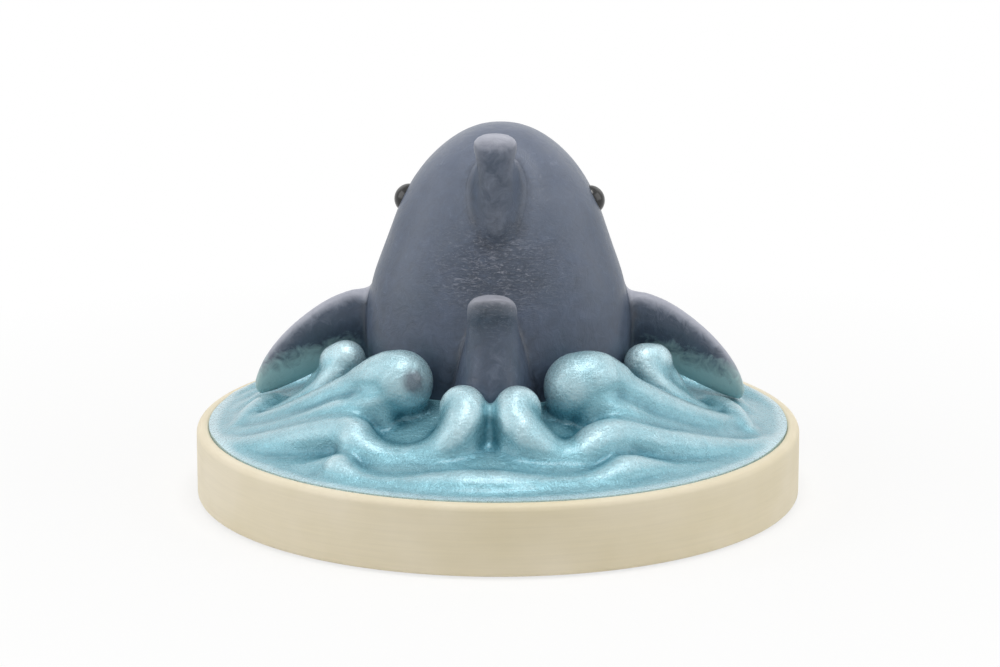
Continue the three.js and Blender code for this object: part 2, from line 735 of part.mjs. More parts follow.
const dowel = (grown = 0) => rod(dowelRadius + grown, -dowelLength / 2 - grown, dowelLength / 2 + grown, 16);

// Materials

const paint = (color, roughness) => new THREE.MeshStandardMaterial({ color, roughness });
const creamPaint = paint("#d3c6a4", 0.6);
const pearlBlue = paint("#8fbfcd", 0.35);
const slateGrey = paint("#5f6878", 0.5);
const blackGloss = paint("#0b0b0c", 0.08);
const toothWhite = paint("#f2efe4", 0.4);
const greenFelt = paint("#3b4a3c", 0.95);
const beech = paint("#c9a877", 0.7);
const steel = new THREE.MeshStandardMaterial({ color: "#b9bcc0", roughness: 0.3, metalness: 1 });

// Assembly

const figurine = new THREE.Group();
const shark = new THREE.Group();
shark.position.z = sharkFoot;
figurine.add(shark);

function place(group, name, solid, material, x = 0, y = 0, z = 0) {
  const { numProp, vertProperties, triVerts } = solid.getMesh();
  const points = new THREE.InterleavedBuffer(vertProperties, numProp);
  const geometry = new THREE.BufferGeometry();
  geometry.setAttribute("position", new THREE.InterleavedBufferAttribute(points, 3, 0));
  geometry.setIndex(new THREE.BufferAttribute(triVerts, 1));
  const mesh = new THREE.Mesh(geometry, material);
  mesh.name = name;
  mesh.position.set(x, y, z);
  group.add(mesh);
}

const eyeSocket = eye(gap).translate(eyePlace.toArray());
const gills = Array.from({ length: gillSlits }, (_, n) => gill(n));
const sideCuts = [finPeg(gap), eyeSocket, ...gills];
const sharkCuts = [raised(screwHole, washerLevel - sharkFoot), mouthCut(), dorsalPeg(gap), tailPeg(gap)];
bothSides.forEach((side) => sharkCuts.push(...sideCuts.map((cut) => mirrored(cut, side))));

const bodyRoom = body(gap);
const pockets = [bodyRoom, tailFin(gap), ...bothSides.map((side) => mirrored(pectoralFin(gap), side))];
const seaCuts = pockets.map((pocket) => raised(pocket, seaPlate));
seaCuts.push(raised(screwHole, washerLevel - dishLevel), dowel(gap).translate([dowelReach, 0, 0]));

place(figurine, "base_disc", base(), creamPaint, 0, 0, woodFoot);
place(figurine, "felt_pad", rod(padRadius, 0, padThickness, 48), greenFelt);
place(figurine, "fixing_screw", screw(), steel, 0, 0, washerLevel);
place(figurine, "screw_washer", washer(), steel, 0, 0, washerLevel);
place(figurine, "locating_dowel", dowel(), beech, dowelReach, 0, dishLevel);
place(figurine, "sea_casting", cutBy(sea(), seaCuts), pearlBlue, 0, 0, dishLevel);
place(shark, "shark_body", cutBy(body(), sharkCuts), slateGrey);
place(shark, "dorsal_fin", dorsalFin().subtract(bodyRoom).add(dorsalPeg()), slateGrey);
place(shark, "tail_fin", tailFin().subtract(bodyRoom).add(tailPeg()), slateGrey);
place(shark, "upper_teeth", teeth(upperTeeth, upperLipDrop, -1), toothWhite);
place(shark, "lower_teeth", teeth(lowerTeeth, lowerLipDrop, 1), toothWhite);
for (const side of bothSides) {
  const hand = side < 0 ? "left" : "right";
  const { x, y, z } = eyePlace;
  const pectoral = pectoralFin().subtract(bodyRoom).add(finPeg());
  place(shark, hand + "_pectoral_fin", mirrored(pectoral, side), slateGrey);
  place(shark, hand + "_eye", mirrored(eye(), side), blackGloss, side * x, y, z);
}

export default figurine;
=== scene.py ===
# Shark figurine rising out of a round pool of curling waves on a cream base, lit for a studio picture.
# Shapes are worked out in millimetres and brought to metres when a piece is finished.
import math
import bmesh
import bpy
import numpy as np
from mathutils import Matrix, Vector
from mathutils.bvhtree import BVHTree
from mathutils.kdtree import KDTree


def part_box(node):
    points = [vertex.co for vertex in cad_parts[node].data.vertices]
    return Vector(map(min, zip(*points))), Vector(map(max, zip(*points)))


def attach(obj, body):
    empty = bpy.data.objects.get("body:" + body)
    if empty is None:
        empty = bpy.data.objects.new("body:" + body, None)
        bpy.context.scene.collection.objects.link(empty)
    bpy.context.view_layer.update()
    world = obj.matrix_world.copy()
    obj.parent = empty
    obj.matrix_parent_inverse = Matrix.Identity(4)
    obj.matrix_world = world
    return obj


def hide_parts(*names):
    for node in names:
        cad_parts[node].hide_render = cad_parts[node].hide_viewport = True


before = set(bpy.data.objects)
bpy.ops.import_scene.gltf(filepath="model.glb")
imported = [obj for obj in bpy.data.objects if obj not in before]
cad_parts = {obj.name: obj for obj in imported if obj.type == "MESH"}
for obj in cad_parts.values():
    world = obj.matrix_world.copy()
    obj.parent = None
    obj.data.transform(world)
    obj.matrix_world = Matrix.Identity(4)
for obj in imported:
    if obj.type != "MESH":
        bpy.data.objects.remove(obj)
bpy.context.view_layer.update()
scene = bpy.context.scene


# Small helpers for selecting, shaping and finishing a piece

def deselectAll():
    for item in bpy.context.selected_objects:
        item.select_set(False)


def makeActive(piece):
    deselectAll()
    piece.select_set(True)
    bpy.context.view_layer.objects.active = piece


def cadSize(node):
    low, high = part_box(node)
    return low * 1000, high * 1000  # millimetres


def applyModifier(piece, kind, **settings):
    makeActive(piece)
    modifier = piece.modifiers.new(kind.title(), kind)
    for name, value in settings.items():
        setattr(modifier, name, value)
    bpy.ops.object.modifier_apply(modifier=modifier.name)


def selectWhere(piece, facesOrEdges, test):
    # in edit mode: selects the faces or edges whose middle passes the test, and nothing else
    shape = bmesh.from_edit_mesh(piece.data)
    for part in (shape.verts, shape.edges, shape.faces):
        for item in part:
            item.select = False
    for item in getattr(shape, facesOrEdges):
        middle = sum((v.co for v in item.verts), Vector()) / len(item.verts)
        if test(middle, item):
            item.select_set(True)
    bmesh.update_edit_mesh(piece.data)


def combine(piece, other, operation, keepOther=False):
    applyModifier(piece, "BOOLEAN", operation=operation, object=other, solver="MANIFOLD")
    if not keepOther:
        bpy.data.objects.remove(other)


def copyOf(piece, name):
    double = piece.copy()
    double.data = piece.data.copy()
    double.name = name
    scene.collection.objects.link(double)
    return double


def mirrorOver(piece):
    # the same form on the other side of the figurine's middle plane, faces still outwards
    piece.data.transform(Matrix.Scale(-1, 4, Vector((1, 0, 0))))
    piece.data.flip_normals()


def ringStack(name, rings):
    # a circle of points extruded ring by ring, each ring laid out as given, closed at both ends
    deselectAll()
    bpy.ops.mesh.primitive_circle_add(vertices=len(rings[0]), fill_type="NGON")
    piece = bpy.context.object
    piece.name = name
    for vertex, point in zip(piece.data.vertices, rings[0]):
        vertex.co = point
    bpy.ops.object.mode_set(mode="EDIT")
    bpy.ops.mesh.select_all(action="SELECT")
    for before, ring in zip(rings, rings[1:]):
        bpy.ops.mesh.extrude_region_move()
        shape = bmesh.from_edit_mesh(piece.data)
        lifted = [v for v in shape.verts if v.select]
        taken = set()
        for vertex in lifted:
            nearest = min((i for i in range(len(before)) if i not in taken),
                          key=lambda i: (before[i] - vertex.co).length)
            taken.add(nearest)
            vertex.co = ring[nearest]
        bmesh.update_edit_mesh(piece.data)
    bpy.ops.mesh.select_all(action="SELECT")
    bpy.ops.mesh.normals_make_consistent(inside=False)
    bpy.ops.object.mode_set(mode="OBJECT")
    return piece


def between(table, share):
    # a row of values part of the way through a table of rows, on a smooth curve
    last = len(table) - 1
    reached = min(max(share, 0.0), 1.0) * last
    i = min(int(reached), last - 1)
    t = reached - i
    rows = [table[min(max(k, 0), last)] for k in (i - 1, i, i + 1, i + 2)]
    return [
        b + 0.5 * t * (c - a + t * (2 * a - 5 * b + 4 * c - d + t * (3 * b - a - 3 * c + d)))
        for a, b, c, d in zip(*rows)
    ]


def roundSection(count, exponent):
    # shares across and along of an ellipse for an exponent of 2, boxier above that
    shares = []
    for i in range(count):
        angle = 2 * math.pi * i / count
        pair = [math.copysign(abs(v) ** (2 / exponent), v) for v in (math.cos(angle), math.sin(angle))]
        shares.append(pair)
    return shares


def circleOf(radius, sides, height=0.0):
    turns = [2 * math.pi * i / sides for i in range(sides)]
    return [Vector((radius * math.cos(a), radius * math.sin(a), height)) for a in turns]


def vertexPlaces(piece):
    places = np.empty(len(piece.data.vertices) * 3)
    piece.data.vertices.foreach_get("co", places)
    return places.reshape(-1, 3)


def averaged(piece, values, rounds):
    # each vertex's value, averaged with its neighbours' over and over
    pairs = np.empty(len(piece.data.edges) * 2, dtype=np.int64)
    piece.data.edges.foreach_get("vertices", pairs)
    pairs = pairs.reshape(-1, 2)
    neighbours = np.maximum(np.bincount(pairs.ravel(), minlength=len(values)), 1)
    for _ in range(rounds):
        total = np.zeros_like(values)
        for a, b in (pairs.T, pairs.T[::-1]):
            for n in range(values.shape[1]):
                total[:, n] += np.bincount(a, weights=values[b, n], minlength=len(values))
        values = 0.4 * values + 0.6 * total / neighbours[:, None]
    return values


def keepAttribute(piece, name, values):
    data = piece.data
    attribute = data.attributes.get(name) or data.attributes.new(name, "FLOAT", "POINT")
    attribute.data.foreach_set("value", np.asarray(values, dtype=np.float32))


def vertexNormals(piece):
    normals = np.empty(len(piece.data.vertices) * 3)
    piece.data.vertices.foreach_get("normal", normals)
    return normals.reshape(-1, 3)


def keepRelief(piece, rounds, depth):
    # how far each point stands out of its surroundings, from -1 in a crease to 1 on a crest
    places = vertexPlaces(piece)
    out = np.einsum("ij,ij->i", places - averaged(piece, places, rounds), vertexNormals(piece))
    keepAttribute(piece, "relief", np.clip(out / depth, -1, 1))


def finishPiece(piece, name, nodes, material):
    # millimetres to metres, smooth shading, the finish, and the CAD nodes that the piece stands for
    piece.data.transform(Matrix.Scale(0.001, 4))
    piece.name = name
    piece.data.name = name
    makeActive(piece)
    bpy.ops.object.shade_smooth_by_angle(angle=math.radians(40))
    if material:
        piece.data.materials.clear()
        piece.data.materials.append(material)
    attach(piece, "root")
    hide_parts(*nodes)
    print(name, "finished with", len(piece.data.polygons), "faces")


# Materials

def linearColour(code):
    # an sRGB hex colour as the linear values that the shaders take
    parts = [int(code[i:i + 2], 16) / 255 for i in (1, 3, 5)]
    return [p / 12.92 if p <= 0.04045 else ((p + 0.055) / 1.055) ** 2.4 for p in parts] + [1.0]


def addNode(tree, kind, settings=None, links=None):
    node = tree.nodes.new("ShaderNode" + kind)
    for name, value in (settings or {}).items():
        if isinstance(name, int) or name in node.inputs:
            node.inputs[name].default_value = value
        else:
            setattr(node, name, value)
    for name, socket in (links or {}).items():
        tree.links.new(socket, node.inputs[name])
    return node


def newMaterial(name):
    material = bpy.data.materials.new(name)
    material.use_nodes = True
    tree = material.node_tree
    shader = tree.nodes["Principled BSDF"]
    place = addNode(tree, "TexCoord").outputs["Object"]
    return material, tree, shader, place


slatePaint = {
    "body": "#4e596c", "bodyCool": "#465263", "shade": "#262c36", "lit": "#6f7789", "rubbedAndHighlight": "#b3b5c1",
    "wash": "#b4d2d0", "belly": "#cfd0c9", "mouth": "#6b3436", "roughness": 0.4,
    "mottle": 9.0,  # millimetres from one cloud of colour to the next
    "patch": 2.2,  # smaller uneven patches left by the brush
    "stroke": 0.5, "strokeLength": 3.0,  # width and length of a brush mark
    "score": 0.55,  # width of the scored marks across the saddle
    "grain": 0.22,
}


def makeSlatePaint():
    # acrylic slate grey brushed over a resin casting: satin and cloudy, lighter on top with painted light,
    # paler on ridges and fin tops with rubbed paint and a painted highlight, painted shade in the creases
    paint = slatePaint
    material, tree, shader, place = newMaterial("slateAcrylicBrushedOnResin")
    cloud = addNode(tree, "TexNoise", {"Scale": 1000 / paint["mottle"], "Detail": 4.0, "Roughness": 0.6,
                                       "Distortion": 0.6}, {"Vector": place})
    patch = addNode(tree, "TexNoise", {"Scale": 1000 / paint["patch"], "Detail": 5.0, "Roughness": 0.65,
                                       "Distortion": 0.8}, {"Vector": place})
    along = addNode(tree, "Mapping", {"Scale": (1, 1, paint["stroke"] / paint["strokeLength"]),
                                      "Rotation": (0.5, 0.3, 0)}, {"Vector": place})
    strokes = addNode(tree, "TexNoise", {"Scale": 1000 / paint["stroke"], "Detail": 3.0, "Roughness": 0.65,
                                         "Distortion": 1.2},
                      {"Vector": along.outputs[0]})
    across = addNode(tree, "Mapping", {"Scale": (0.3, 0.6, 1.0), "Rotation": (0.25, 0.35, 0.2)},
                     {"Vector": place})
    scratches = addNode(tree, "TexNoise", {"Scale": 1000 / paint["score"], "Detail": 5.0,
                                           "Roughness": 0.75, "Distortion": 2.2},
                        {"Vector": across.outputs[0]})
    grain = addNode(tree, "TexNoise", {"Scale": 1000 / paint["grain"], "Detail": 2.0}, {"Vector": place})
    relief, up, saddle, washed, belly, mouthShare, edge = [
        addNode(tree, "Attribute", {"attribute_name": name}).outputs["Fac"]
        for name in ("relief", "up", "saddle", "wash", "belly", "mouth", "edge")
    ]
    warmCool = addNode(tree, "MapRange", {"From Min": 0.35, "From Max": 0.65},
                       {"Value": cloud.outputs["Fac"]})
    base = addNode(tree, "Mix", {"data_type": "RGBA", 6: linearColour(paint["body"]),
                                 7: linearColour(paint["bodyCool"])},
                   {0: warmCool.outputs[0]})
    uneven = addNode(tree, "MapRange", {"From Min": 0.3, "From Max": 0.7, "To Min": 0.84, "To Max": 1.16},
                     {"Value": patch.outputs["Fac"]})
    unevenBase = addNode(tree, "Mix", {"data_type": "RGBA", "blend_type": "MULTIPLY", 0: 1.0},
                         {6: base.outputs[2], 7: uneven.outputs[0]})
    litWander = addNode(tree, "Math", {"operation": "MULTIPLY_ADD", 1: 0.8, 2: -0.4},
                        {0: cloud.outputs["Fac"]})
    litSum = addNode(tree, "Math", {"operation": "ADD"}, {0: up, 1: litWander.outputs[0]})
    litShare = addNode(tree, "MapRange", {"From Min": 0.35, "From Max": 1.0, "To Max": 0.7},
                       {"Value": litSum.outputs[0]})
    lit = addNode(tree, "Mix", {"data_type": "RGBA", 7: linearColour(paint["lit"])},
                  {0: litShare.outputs[0], 6: unevenBase.outputs[2]})
    streak = addNode(tree, "MapRange", {"From Min": 0.3, "From Max": 0.7, "To Min": 0.95, "To Max": 1.05},
                     {"Value": strokes.outputs["Fac"]})
    streaked = addNode(tree, "Mix", {"data_type": "RGBA", "blend_type": "MULTIPLY", 0: 1.0},
                       {6: lit.outputs[2], 7: streak.outputs[0]})
    patchy = addNode(tree, "Math", {"operation": "MULTIPLY_ADD", 1: 0.7, 2: -0.35},
                     {0: patch.outputs["Fac"]})
    reliefPatchy = addNode(tree, "Math", {"operation": "ADD"}, {0: relief, 1: patchy.outputs[0]})
    creaseShare = addNode(tree, "MapRange", {"From Min": -0.02, "From Max": -0.7, "To Max": 0.92},
                          {"Value": reliefPatchy.outputs[0]})
    creased = addNode(tree, "Mix", {"data_type": "RGBA", 7: linearColour(paint["shade"])},
                      {0: creaseShare.outputs[0], 6: streaked.outputs[2]})
    # paler on the ridges: rubbed paint and a painted highlight
    ridgeShare = addNode(tree, "MapRange", {"From Min": 0.2, "From Max": 1.0, "To Max": 0.55},
                         {"Value": reliefPatchy.outputs[0]})
    rubbedAndHighlight = addNode(tree, "Mix", {"data_type": "RGBA", 7: linearColour(paint["rubbedAndHighlight"])},
                     {0: ridgeShare.outputs[0], 6: creased.outputs[2]})
    # paler along the upward-facing top edges of the fins: rubbed paint and a painted highlight
    edgePatchy = addNode(tree, "Math", {"operation": "ADD"}, {0: edge, 1: patchy.outputs[0]})
    edgeShare = addNode(tree, "MapRange", {"From Min": 0.1, "From Max": 0.95, "To Max": 0.8},
                        {"Value": edgePatchy.outputs[0]})
    edged = addNode(tree, "Mix", {"data_type": "RGBA", 7: linearColour(paint["rubbedAndHighlight"])},
                    {0: edgeShare.outputs[0], 6: rubbedAndHighlight.outputs[2]})
    scratchLine = addNode(tree, "MapRange", {"From Min": 0.52, "From Max": 0.62},
                          {"Value": scratches.outputs["Fac"]})
    scratchShare = addNode(tree, "Math", {"operation": "MULTIPLY"}, {0: scratchLine.outputs[0], 1: saddle})
    scratchPale = addNode(tree, "Math", {"operation": "MULTIPLY", 1: 0.5}, {0: scratchShare.outputs[0]})
    scratched = addNode(tree, "Mix", {"data_type": "RGBA", 7: linearColour(paint["rubbedAndHighlight"])},
                        {0: scratchPale.outputs[0], 6: edged.outputs[2]})
    ragged = addNode(tree, "Math", {"operation": "MULTIPLY_ADD", 1: 0.5, 2: -0.25},
                     {0: scratches.outputs["Fac"]})
    bellyEdge = addNode(tree, "Math", {"operation": "ADD"}, {0: belly, 1: ragged.outputs[0]})
    bellyShare = addNode(tree, "MapRange",
                         {"From Min": 0.4, "From Max": 0.6, "interpolation_type": "SMOOTHSTEP"},
                         {"Value": bellyEdge.outputs[0]})
    bellied = addNode(tree, "Mix", {"data_type": "RGBA", 7: linearColour(paint["belly"])},
                      {0: bellyShare.outputs[0], 6: scratched.outputs[2]})
    cloudy = addNode(tree, "Math", {"operation": "MULTIPLY_ADD", 1: 0.9, 2: -0.45},
                     {0: patch.outputs["Fac"]})
    washEdge = addNode(tree, "Math", {"operation": "ADD"}, {0: washed, 1: cloudy.outputs[0]})
    washShare = addNode(tree, "MapRange", {"From Min": 0.3, "From Max": 0.75, "To Max": 0.85},
                        {"Value": washEdge.outputs[0]})
    washedColour = addNode(tree, "Mix", {"data_type": "RGBA", 7: linearColour(paint["wash"])},
                           {0: washShare.outputs[0], 6: bellied.outputs[2]})
    lined = addNode(tree, "Mix", {"data_type": "RGBA", 7: linearColour(paint["mouth"])},
                    {0: mouthShare, 6: washedColour.outputs[2]})
    tree.links.new(lined.outputs[2], shader.inputs["Base Color"])
    satin = addNode(tree, "MapRange",
                    {"From Min": 0.3, "From Max": 0.7, "To Min": paint["roughness"] - 0.07,
                     "To Max": paint["roughness"] + 0.09},
                    {"Value": patch.outputs["Fac"]})
    tree.links.new(satin.outputs[0], shader.inputs["Roughness"])
    shader.inputs["IOR"].default_value = 1.47
    shader.inputs["Coat Weight"].default_value = 0.12
    shader.inputs["Coat Roughness"].default_value = 0.25
    fine = addNode(tree, "Bump", {"Strength": 0.35, "Distance": 0.00003}, {"Height": grain.outputs["Fac"]})
    brushed = addNode(tree, "Bump", {"Strength": 0.5, "Distance": 0.00005},
                      {"Height": strokes.outputs["Fac"], "Normal": fine.outputs[0]})
    lumpy = addNode(tree, "Bump", {"Strength": 0.6, "Distance": 0.00025},
                    {"Height": patch.outputs["Fac"], "Normal": brushed.outputs[0]})
    scratchDepth = addNode(tree, "Math", {"operation": "MULTIPLY"},
                           {0: scratches.outputs["Fac"], 1: saddle})
    scored = addNode(tree, "Bump", {"Strength": 1.0, "Distance": 0.0005},
                     {"Height": scratchDepth.outputs[0], "Normal": lumpy.outputs[0]})
    tree.links.new(scored.outputs[0], shader.inputs["Normal"])
    return material


pearlPaint = {
    "creaseShade": "#407c8d", "water": "#7cafbc", "crest": "#cde4ea", "smudge": "#4a4d5c",
    "roughness": 0.27, "metallic": 0.35,
    "mottle": 3.0, "ripple": 0.7, "stroke": 0.5, "strokeLength": 3.0,
}


def makePearlPaint():
    # pearl acrylic brushed over a resin casting: paler on the crests with dry-brushed paint and a painted
    # highlight, deeper blue painted shade in the creases, a soft metallic sheen
    paint = pearlPaint
    material, tree, shader, place = newMaterial("pearlAcrylicBrushedOnResin")
    relief, smudge = [
        addNode(tree, "Attribute", {"attribute_name": name}).outputs["Fac"] for name in ("relief", "smudge")
    ]
    cloud = addNode(tree, "TexNoise",
                    {"Scale": 1000 / paint["mottle"], "Detail": 6.0, "Roughness": 0.65, "Distortion": 1.0},
                    {"Vector": place})
    along = addNode(tree, "Mapping", {"Scale": (paint["stroke"] / paint["strokeLength"], 0.5, 1)},
                    {"Vector": place})
    strokes = addNode(tree, "TexNoise",
                      {"Scale": 1000 / paint["stroke"], "Detail": 4.0, "Roughness": 0.7, "Distortion": 2.0},
                      {"Vector": along.outputs[0]})
    ripples = addNode(tree, "TexNoise",
                      {"Scale": 1000 / paint["ripple"], "Detail": 4.0, "Roughness": 0.7, "Distortion": 1.5},
                      {"Vector": place})
    wander = addNode(tree, "Math", {"operation": "MULTIPLY_ADD", 1: 0.7, 2: -0.35},
                     {0: cloud.outputs["Fac"]})
    uneven = addNode(tree, "Math", {"operation": "ADD"}, {0: relief, 1: wander.outputs[0]})
    # painted shade: a deeper blue in the creases
    creaseShare = addNode(tree, "MapRange", {"From Min": -0.1, "From Max": -0.9, "To Max": 1.0},
                          {"Value": uneven.outputs[0]})
    hollow = addNode(tree, "Mix",
                     {"data_type": "RGBA", 6: linearColour(paint["water"]), 7: linearColour(paint["creaseShade"])},
                     {0: creaseShare.outputs[0]})
    # paler on the crests: dry-brushed paint and a painted highlight
    crestShare = addNode(tree, "MapRange", {"From Min": 0.15, "From Max": 1.0, "To Max": 0.66},
                         {"Value": uneven.outputs[0]})
    crested = addNode(tree, "Mix", {"data_type": "RGBA", 7: linearColour(paint["crest"])},
                      {0: crestShare.outputs[0], 6: hollow.outputs[2]})
    streak = addNode(tree, "MapRange", {"From Min": 0.3, "From Max": 0.7, "To Min": 0.88, "To Max": 1.1},
                     {"Value": strokes.outputs["Fac"]})
    streaked = addNode(tree, "Mix", {"data_type": "RGBA", "blend_type": "MULTIPLY", 0: 1.0},
                       {6: crested.outputs[2], 7: streak.outputs[0]})
    raggedSmudge = addNode(tree, "Math", {"operation": "MULTIPLY_ADD", 1: 1.2, 2: -0.6},
                           {0: ripples.outputs["Fac"]})
    smudgeEdge = addNode(tree, "Math", {"operation": "ADD"}, {0: smudge, 1: raggedSmudge.outputs[0]})
    smudgeShare = addNode(tree, "MapRange", {"From Min": 0.2, "From Max": 0.9, "To Max": 0.8},
                          {"Value": smudgeEdge.outputs[0]})
    smudged = addNode(tree, "Mix", {"data_type": "RGBA", 7: linearColour(paint["smudge"])},
                      {0: smudgeShare.outputs[0], 6: streaked.outputs[2]})
    tree.links.new(smudged.outputs[2], shader.inputs["Base Color"])
    shader.inputs["Metallic"].default_value = paint["metallic"]
    glint = addNode(tree, "MapRange",
                    {"From Min": 0.3, "From Max": 0.7, "To Min": paint["roughness"] - 0.07,
                     "To Max": paint["roughness"] + 0.1},
                    {"Value": ripples.outputs["Fac"]})
    tree.links.new(glint.outputs[0], shader.inputs["Roughness"])
    shader.inputs["Coat Weight"].default_value = 0.35
    shader.inputs["Coat Roughness"].default_value = 0.12
    rippled = addNode(tree, "Bump", {"Strength": 0.6, "Distance": 0.00012},
                      {"Height": ripples.outputs["Fac"]})
    brushed = addNode(tree, "Bump", {"Strength": 0.6, "Distance": 0.0001},
                      {"Height": strokes.outputs["Fac"], "Normal": rippled.outputs[0]})
    lumpy = addNode(tree, "Bump", {"Strength": 0.6, "Distance": 0.0005},
                    {"Height": cloud.outputs["Fac"], "Normal": brushed.outputs[0]})
    tree.links.new(lumpy.outputs[0], shader.inputs["Normal"])
    return material


creamPaint = {"cream": "#eee3ca", "warm": "#e5d9ba", "roughness": 0.48, "mottle": 16.0, "stroke": 0.45,
              "strokeLength": 14.0}


def makeCreamPaint():
    # eggshell enamel brushed round a turned board: smooth and even,
    # with faint streaks that run round the edge
    paint = creamPaint
    material, tree, shader, place = newMaterial("creamEnamelOnTurnedBoard")
    parts = addNode(tree, "SeparateXYZ", None, {0: place})
    turn = addNode(tree, "Math", {"operation": "ARCTAN2"}, {0: parts.outputs[1], 1: parts.outputs[0]})
    radius = addNode(tree, "VectorMath", {"operation": "LENGTH"}, {0: place})
    roundTheEdge = addNode(tree, "Math",
                           {"operation": "MULTIPLY", 1: 0.05 * paint["stroke"] / paint["strokeLength"]},
                           {0: turn.outputs[0]})
    wrapped = addNode(tree, "CombineXYZ", None,
                      {0: roundTheEdge.outputs[0], 1: radius.outputs[1], 2: parts.outputs[2]})
    strokes = addNode(tree, "TexNoise", {"Scale": 1000 / paint["stroke"], "Detail": 3.0, "Roughness": 0.6},
                      {"Vector": wrapped.outputs[0]})
    cloud = addNode(tree, "TexNoise", {"Scale": 1000 / paint["mottle"], "Detail": 3.0}, {"Vector": place})
    warmShare = addNode(tree, "MapRange", {"From Min": 0.35, "From Max": 0.7},
                        {"Value": cloud.outputs["Fac"]})
    colour = addNode(tree, "Mix",
                     {"data_type": "RGBA", 6: linearColour(paint["cream"]), 7: linearColour(paint["warm"])},
                     {0: warmShare.outputs[0]})
    streak = addNode(tree, "MapRange", {"From Min": 0.3, "From Max": 0.7, "To Min": 0.975, "To Max": 1.02},
                     {"Value": strokes.outputs["Fac"]})
    streaked = addNode(tree, "Mix", {"data_type": "RGBA", "blend_type": "MULTIPLY", 0: 1.0},
                       {6: colour.outputs[2], 7: streak.outputs[0]})
    tree.links.new(streaked.outputs[2], shader.inputs["Base Color"])
    satin = addNode(tree, "MapRange",
                    {"To Min": paint["roughness"] - 0.06, "To Max": paint["roughness"] + 0.08},
                    {"Value": cloud.outputs["Fac"]})
    tree.links.new(satin.outputs[0], shader.inputs["Roughness"])
    shader.inputs["IOR"].default_value = 1.48
    waves = addNode(tree, "Bump", {"Strength": 0.35, "Distance": 0.0003}, {"Height": cloud.outputs["Fac"]})
    brushed = addNode(tree, "Bump", {"Strength": 0.3, "Distance": 0.00004},
                      {"Height": strokes.outputs["Fac"], "Normal": waves.outputs[0]})
    tree.links.new(brushed.outputs[0], shader.inputs["Normal"])
    return material


def makeBeadGlass():
    # black glass bead, fire polished: deep and glossy, with the faintest ripple
    material, tree, shader, place = newMaterial("blackGlassBeadPolished")
    shader.inputs["Base Color"].default_value = linearColour("#060708")
    shader.inputs["IOR"].default_value = 1.52
    ripple = addNode(tree, "TexNoise", {"Scale": 1000 / 1.6, "Detail": 1.0}, {"Vector": place})
    gloss = addNode(tree, "MapRange", {"To Min": 0.12, "To Max": 0.24}, {"Value": ripple.outputs["Fac"]})
    tree.links.new(gloss.outputs[0], shader.inputs["Roughness"])
    bump = addNode(tree, "Bump", {"Strength": 0.15, "Distance": 0.00005}, {"Height": ripple.outputs["Fac"]})
    tree.links.new(bump.outputs[0], shader.inputs["Normal"])
    return material


def makeToothEnamel():
    # white resin strip under satin varnish: warm white, a little darker and yellower towards the gum
    material, tree, shader, place = newMaterial("toothWhiteResinCast")
    root = addNode(tree, "Attribute", {"attribute_name": "root"}).outputs["Fac"]
    colour = addNode(tree, "Mix", {"data_type": "RGBA", 6: linearColour("#efece0"),
                                   7: linearColour("#d6cdb4")}, {0: root})
    tree.links.new(colour.outputs[2], shader.inputs["Base Color"])
    wear = addNode(tree, "TexNoise", {"Scale": 1000 / 0.8, "Detail": 3.0}, {"Vector": place})
    satin = addNode(tree, "MapRange", {"To Min": 0.25, "To Max": 0.42}, {"Value": wear.outputs["Fac"]})
    tree.links.new(satin.outputs[0], shader.inputs["Roughness"])
    bump = addNode(tree, "Bump", {"Strength": 0.3, "Distance": 0.00003}, {"Height": wear.outputs["Fac"]})
    tree.links.new(bump.outputs[0], shader.inputs["Normal"])
    return material


def makeFelt():
    # pressed wool felt: matt, soft at the edges, with short fibres lying every way
    material, tree, shader, place = newMaterial("darkGreenWoolFeltPressed")
    fibres = addNode(tree, "TexNoise", {"Scale": 1000 / 0.35, "Detail": 6.0, "Roughness": 0.8,
                                        "Distortion": 1.5}, {"Vector": place})
    colour = addNode(tree, "Mix",
                     {"data_type": "RGBA", 6: linearColour("#2c3a2f"), 7: linearColour("#4a5a4a")},
                     {0: fibres.outputs["Fac"]})
    tree.links.new(colour.outputs[2], shader.inputs["Base Color"])
    shader.inputs["Roughness"].default_value = 0.95
    shader.inputs["Sheen Weight"].default_value = 0.4
    bump = addNode(tree, "Bump", {"Strength": 0.8, "Distance": 0.0002}, {"Height": fibres.outputs["Fac"]})
    tree.links.new(bump.outputs[0], shader.inputs["Normal"])
    return material


def makeZincSteel():
    # zinc plated steel, turned: fine rings and a slightly hazy shine
    material, tree, shader, place = newMaterial("zincPlatedSteelTurned")
    parts = addNode(tree, "SeparateXYZ", None, {0: place})
    flat = addNode(tree, "CombineXYZ", None, {0: parts.outputs[0], 1: parts.outputs[1]})
    radius = addNode(tree, "VectorMath", {"operation": "LENGTH"}, {0: flat.outputs[0]})
    rings = addNode(tree, "TexNoise", {"noise_dimensions": "1D", "Scale": 1000 / 0.2, "Detail": 2.0},
                    {"W": radius.outputs[1]})
    shader.inputs["Base Color"].default_value = linearColour("#bcc1c7")
    shader.inputs["Metallic"].default_value = 1.0
    haze = addNode(tree, "MapRange", {"To Min": 0.22, "To Max": 0.4}, {"Value": rings.outputs["Fac"]})
    tree.links.new(haze.outputs[0], shader.inputs["Roughness"])
    bump = addNode(tree, "Bump", {"Strength": 0.3, "Distance": 0.00003}, {"Height": rings.outputs["Fac"]})
    tree.links.new(bump.outputs[0], shader.inputs["Normal"])
    return material


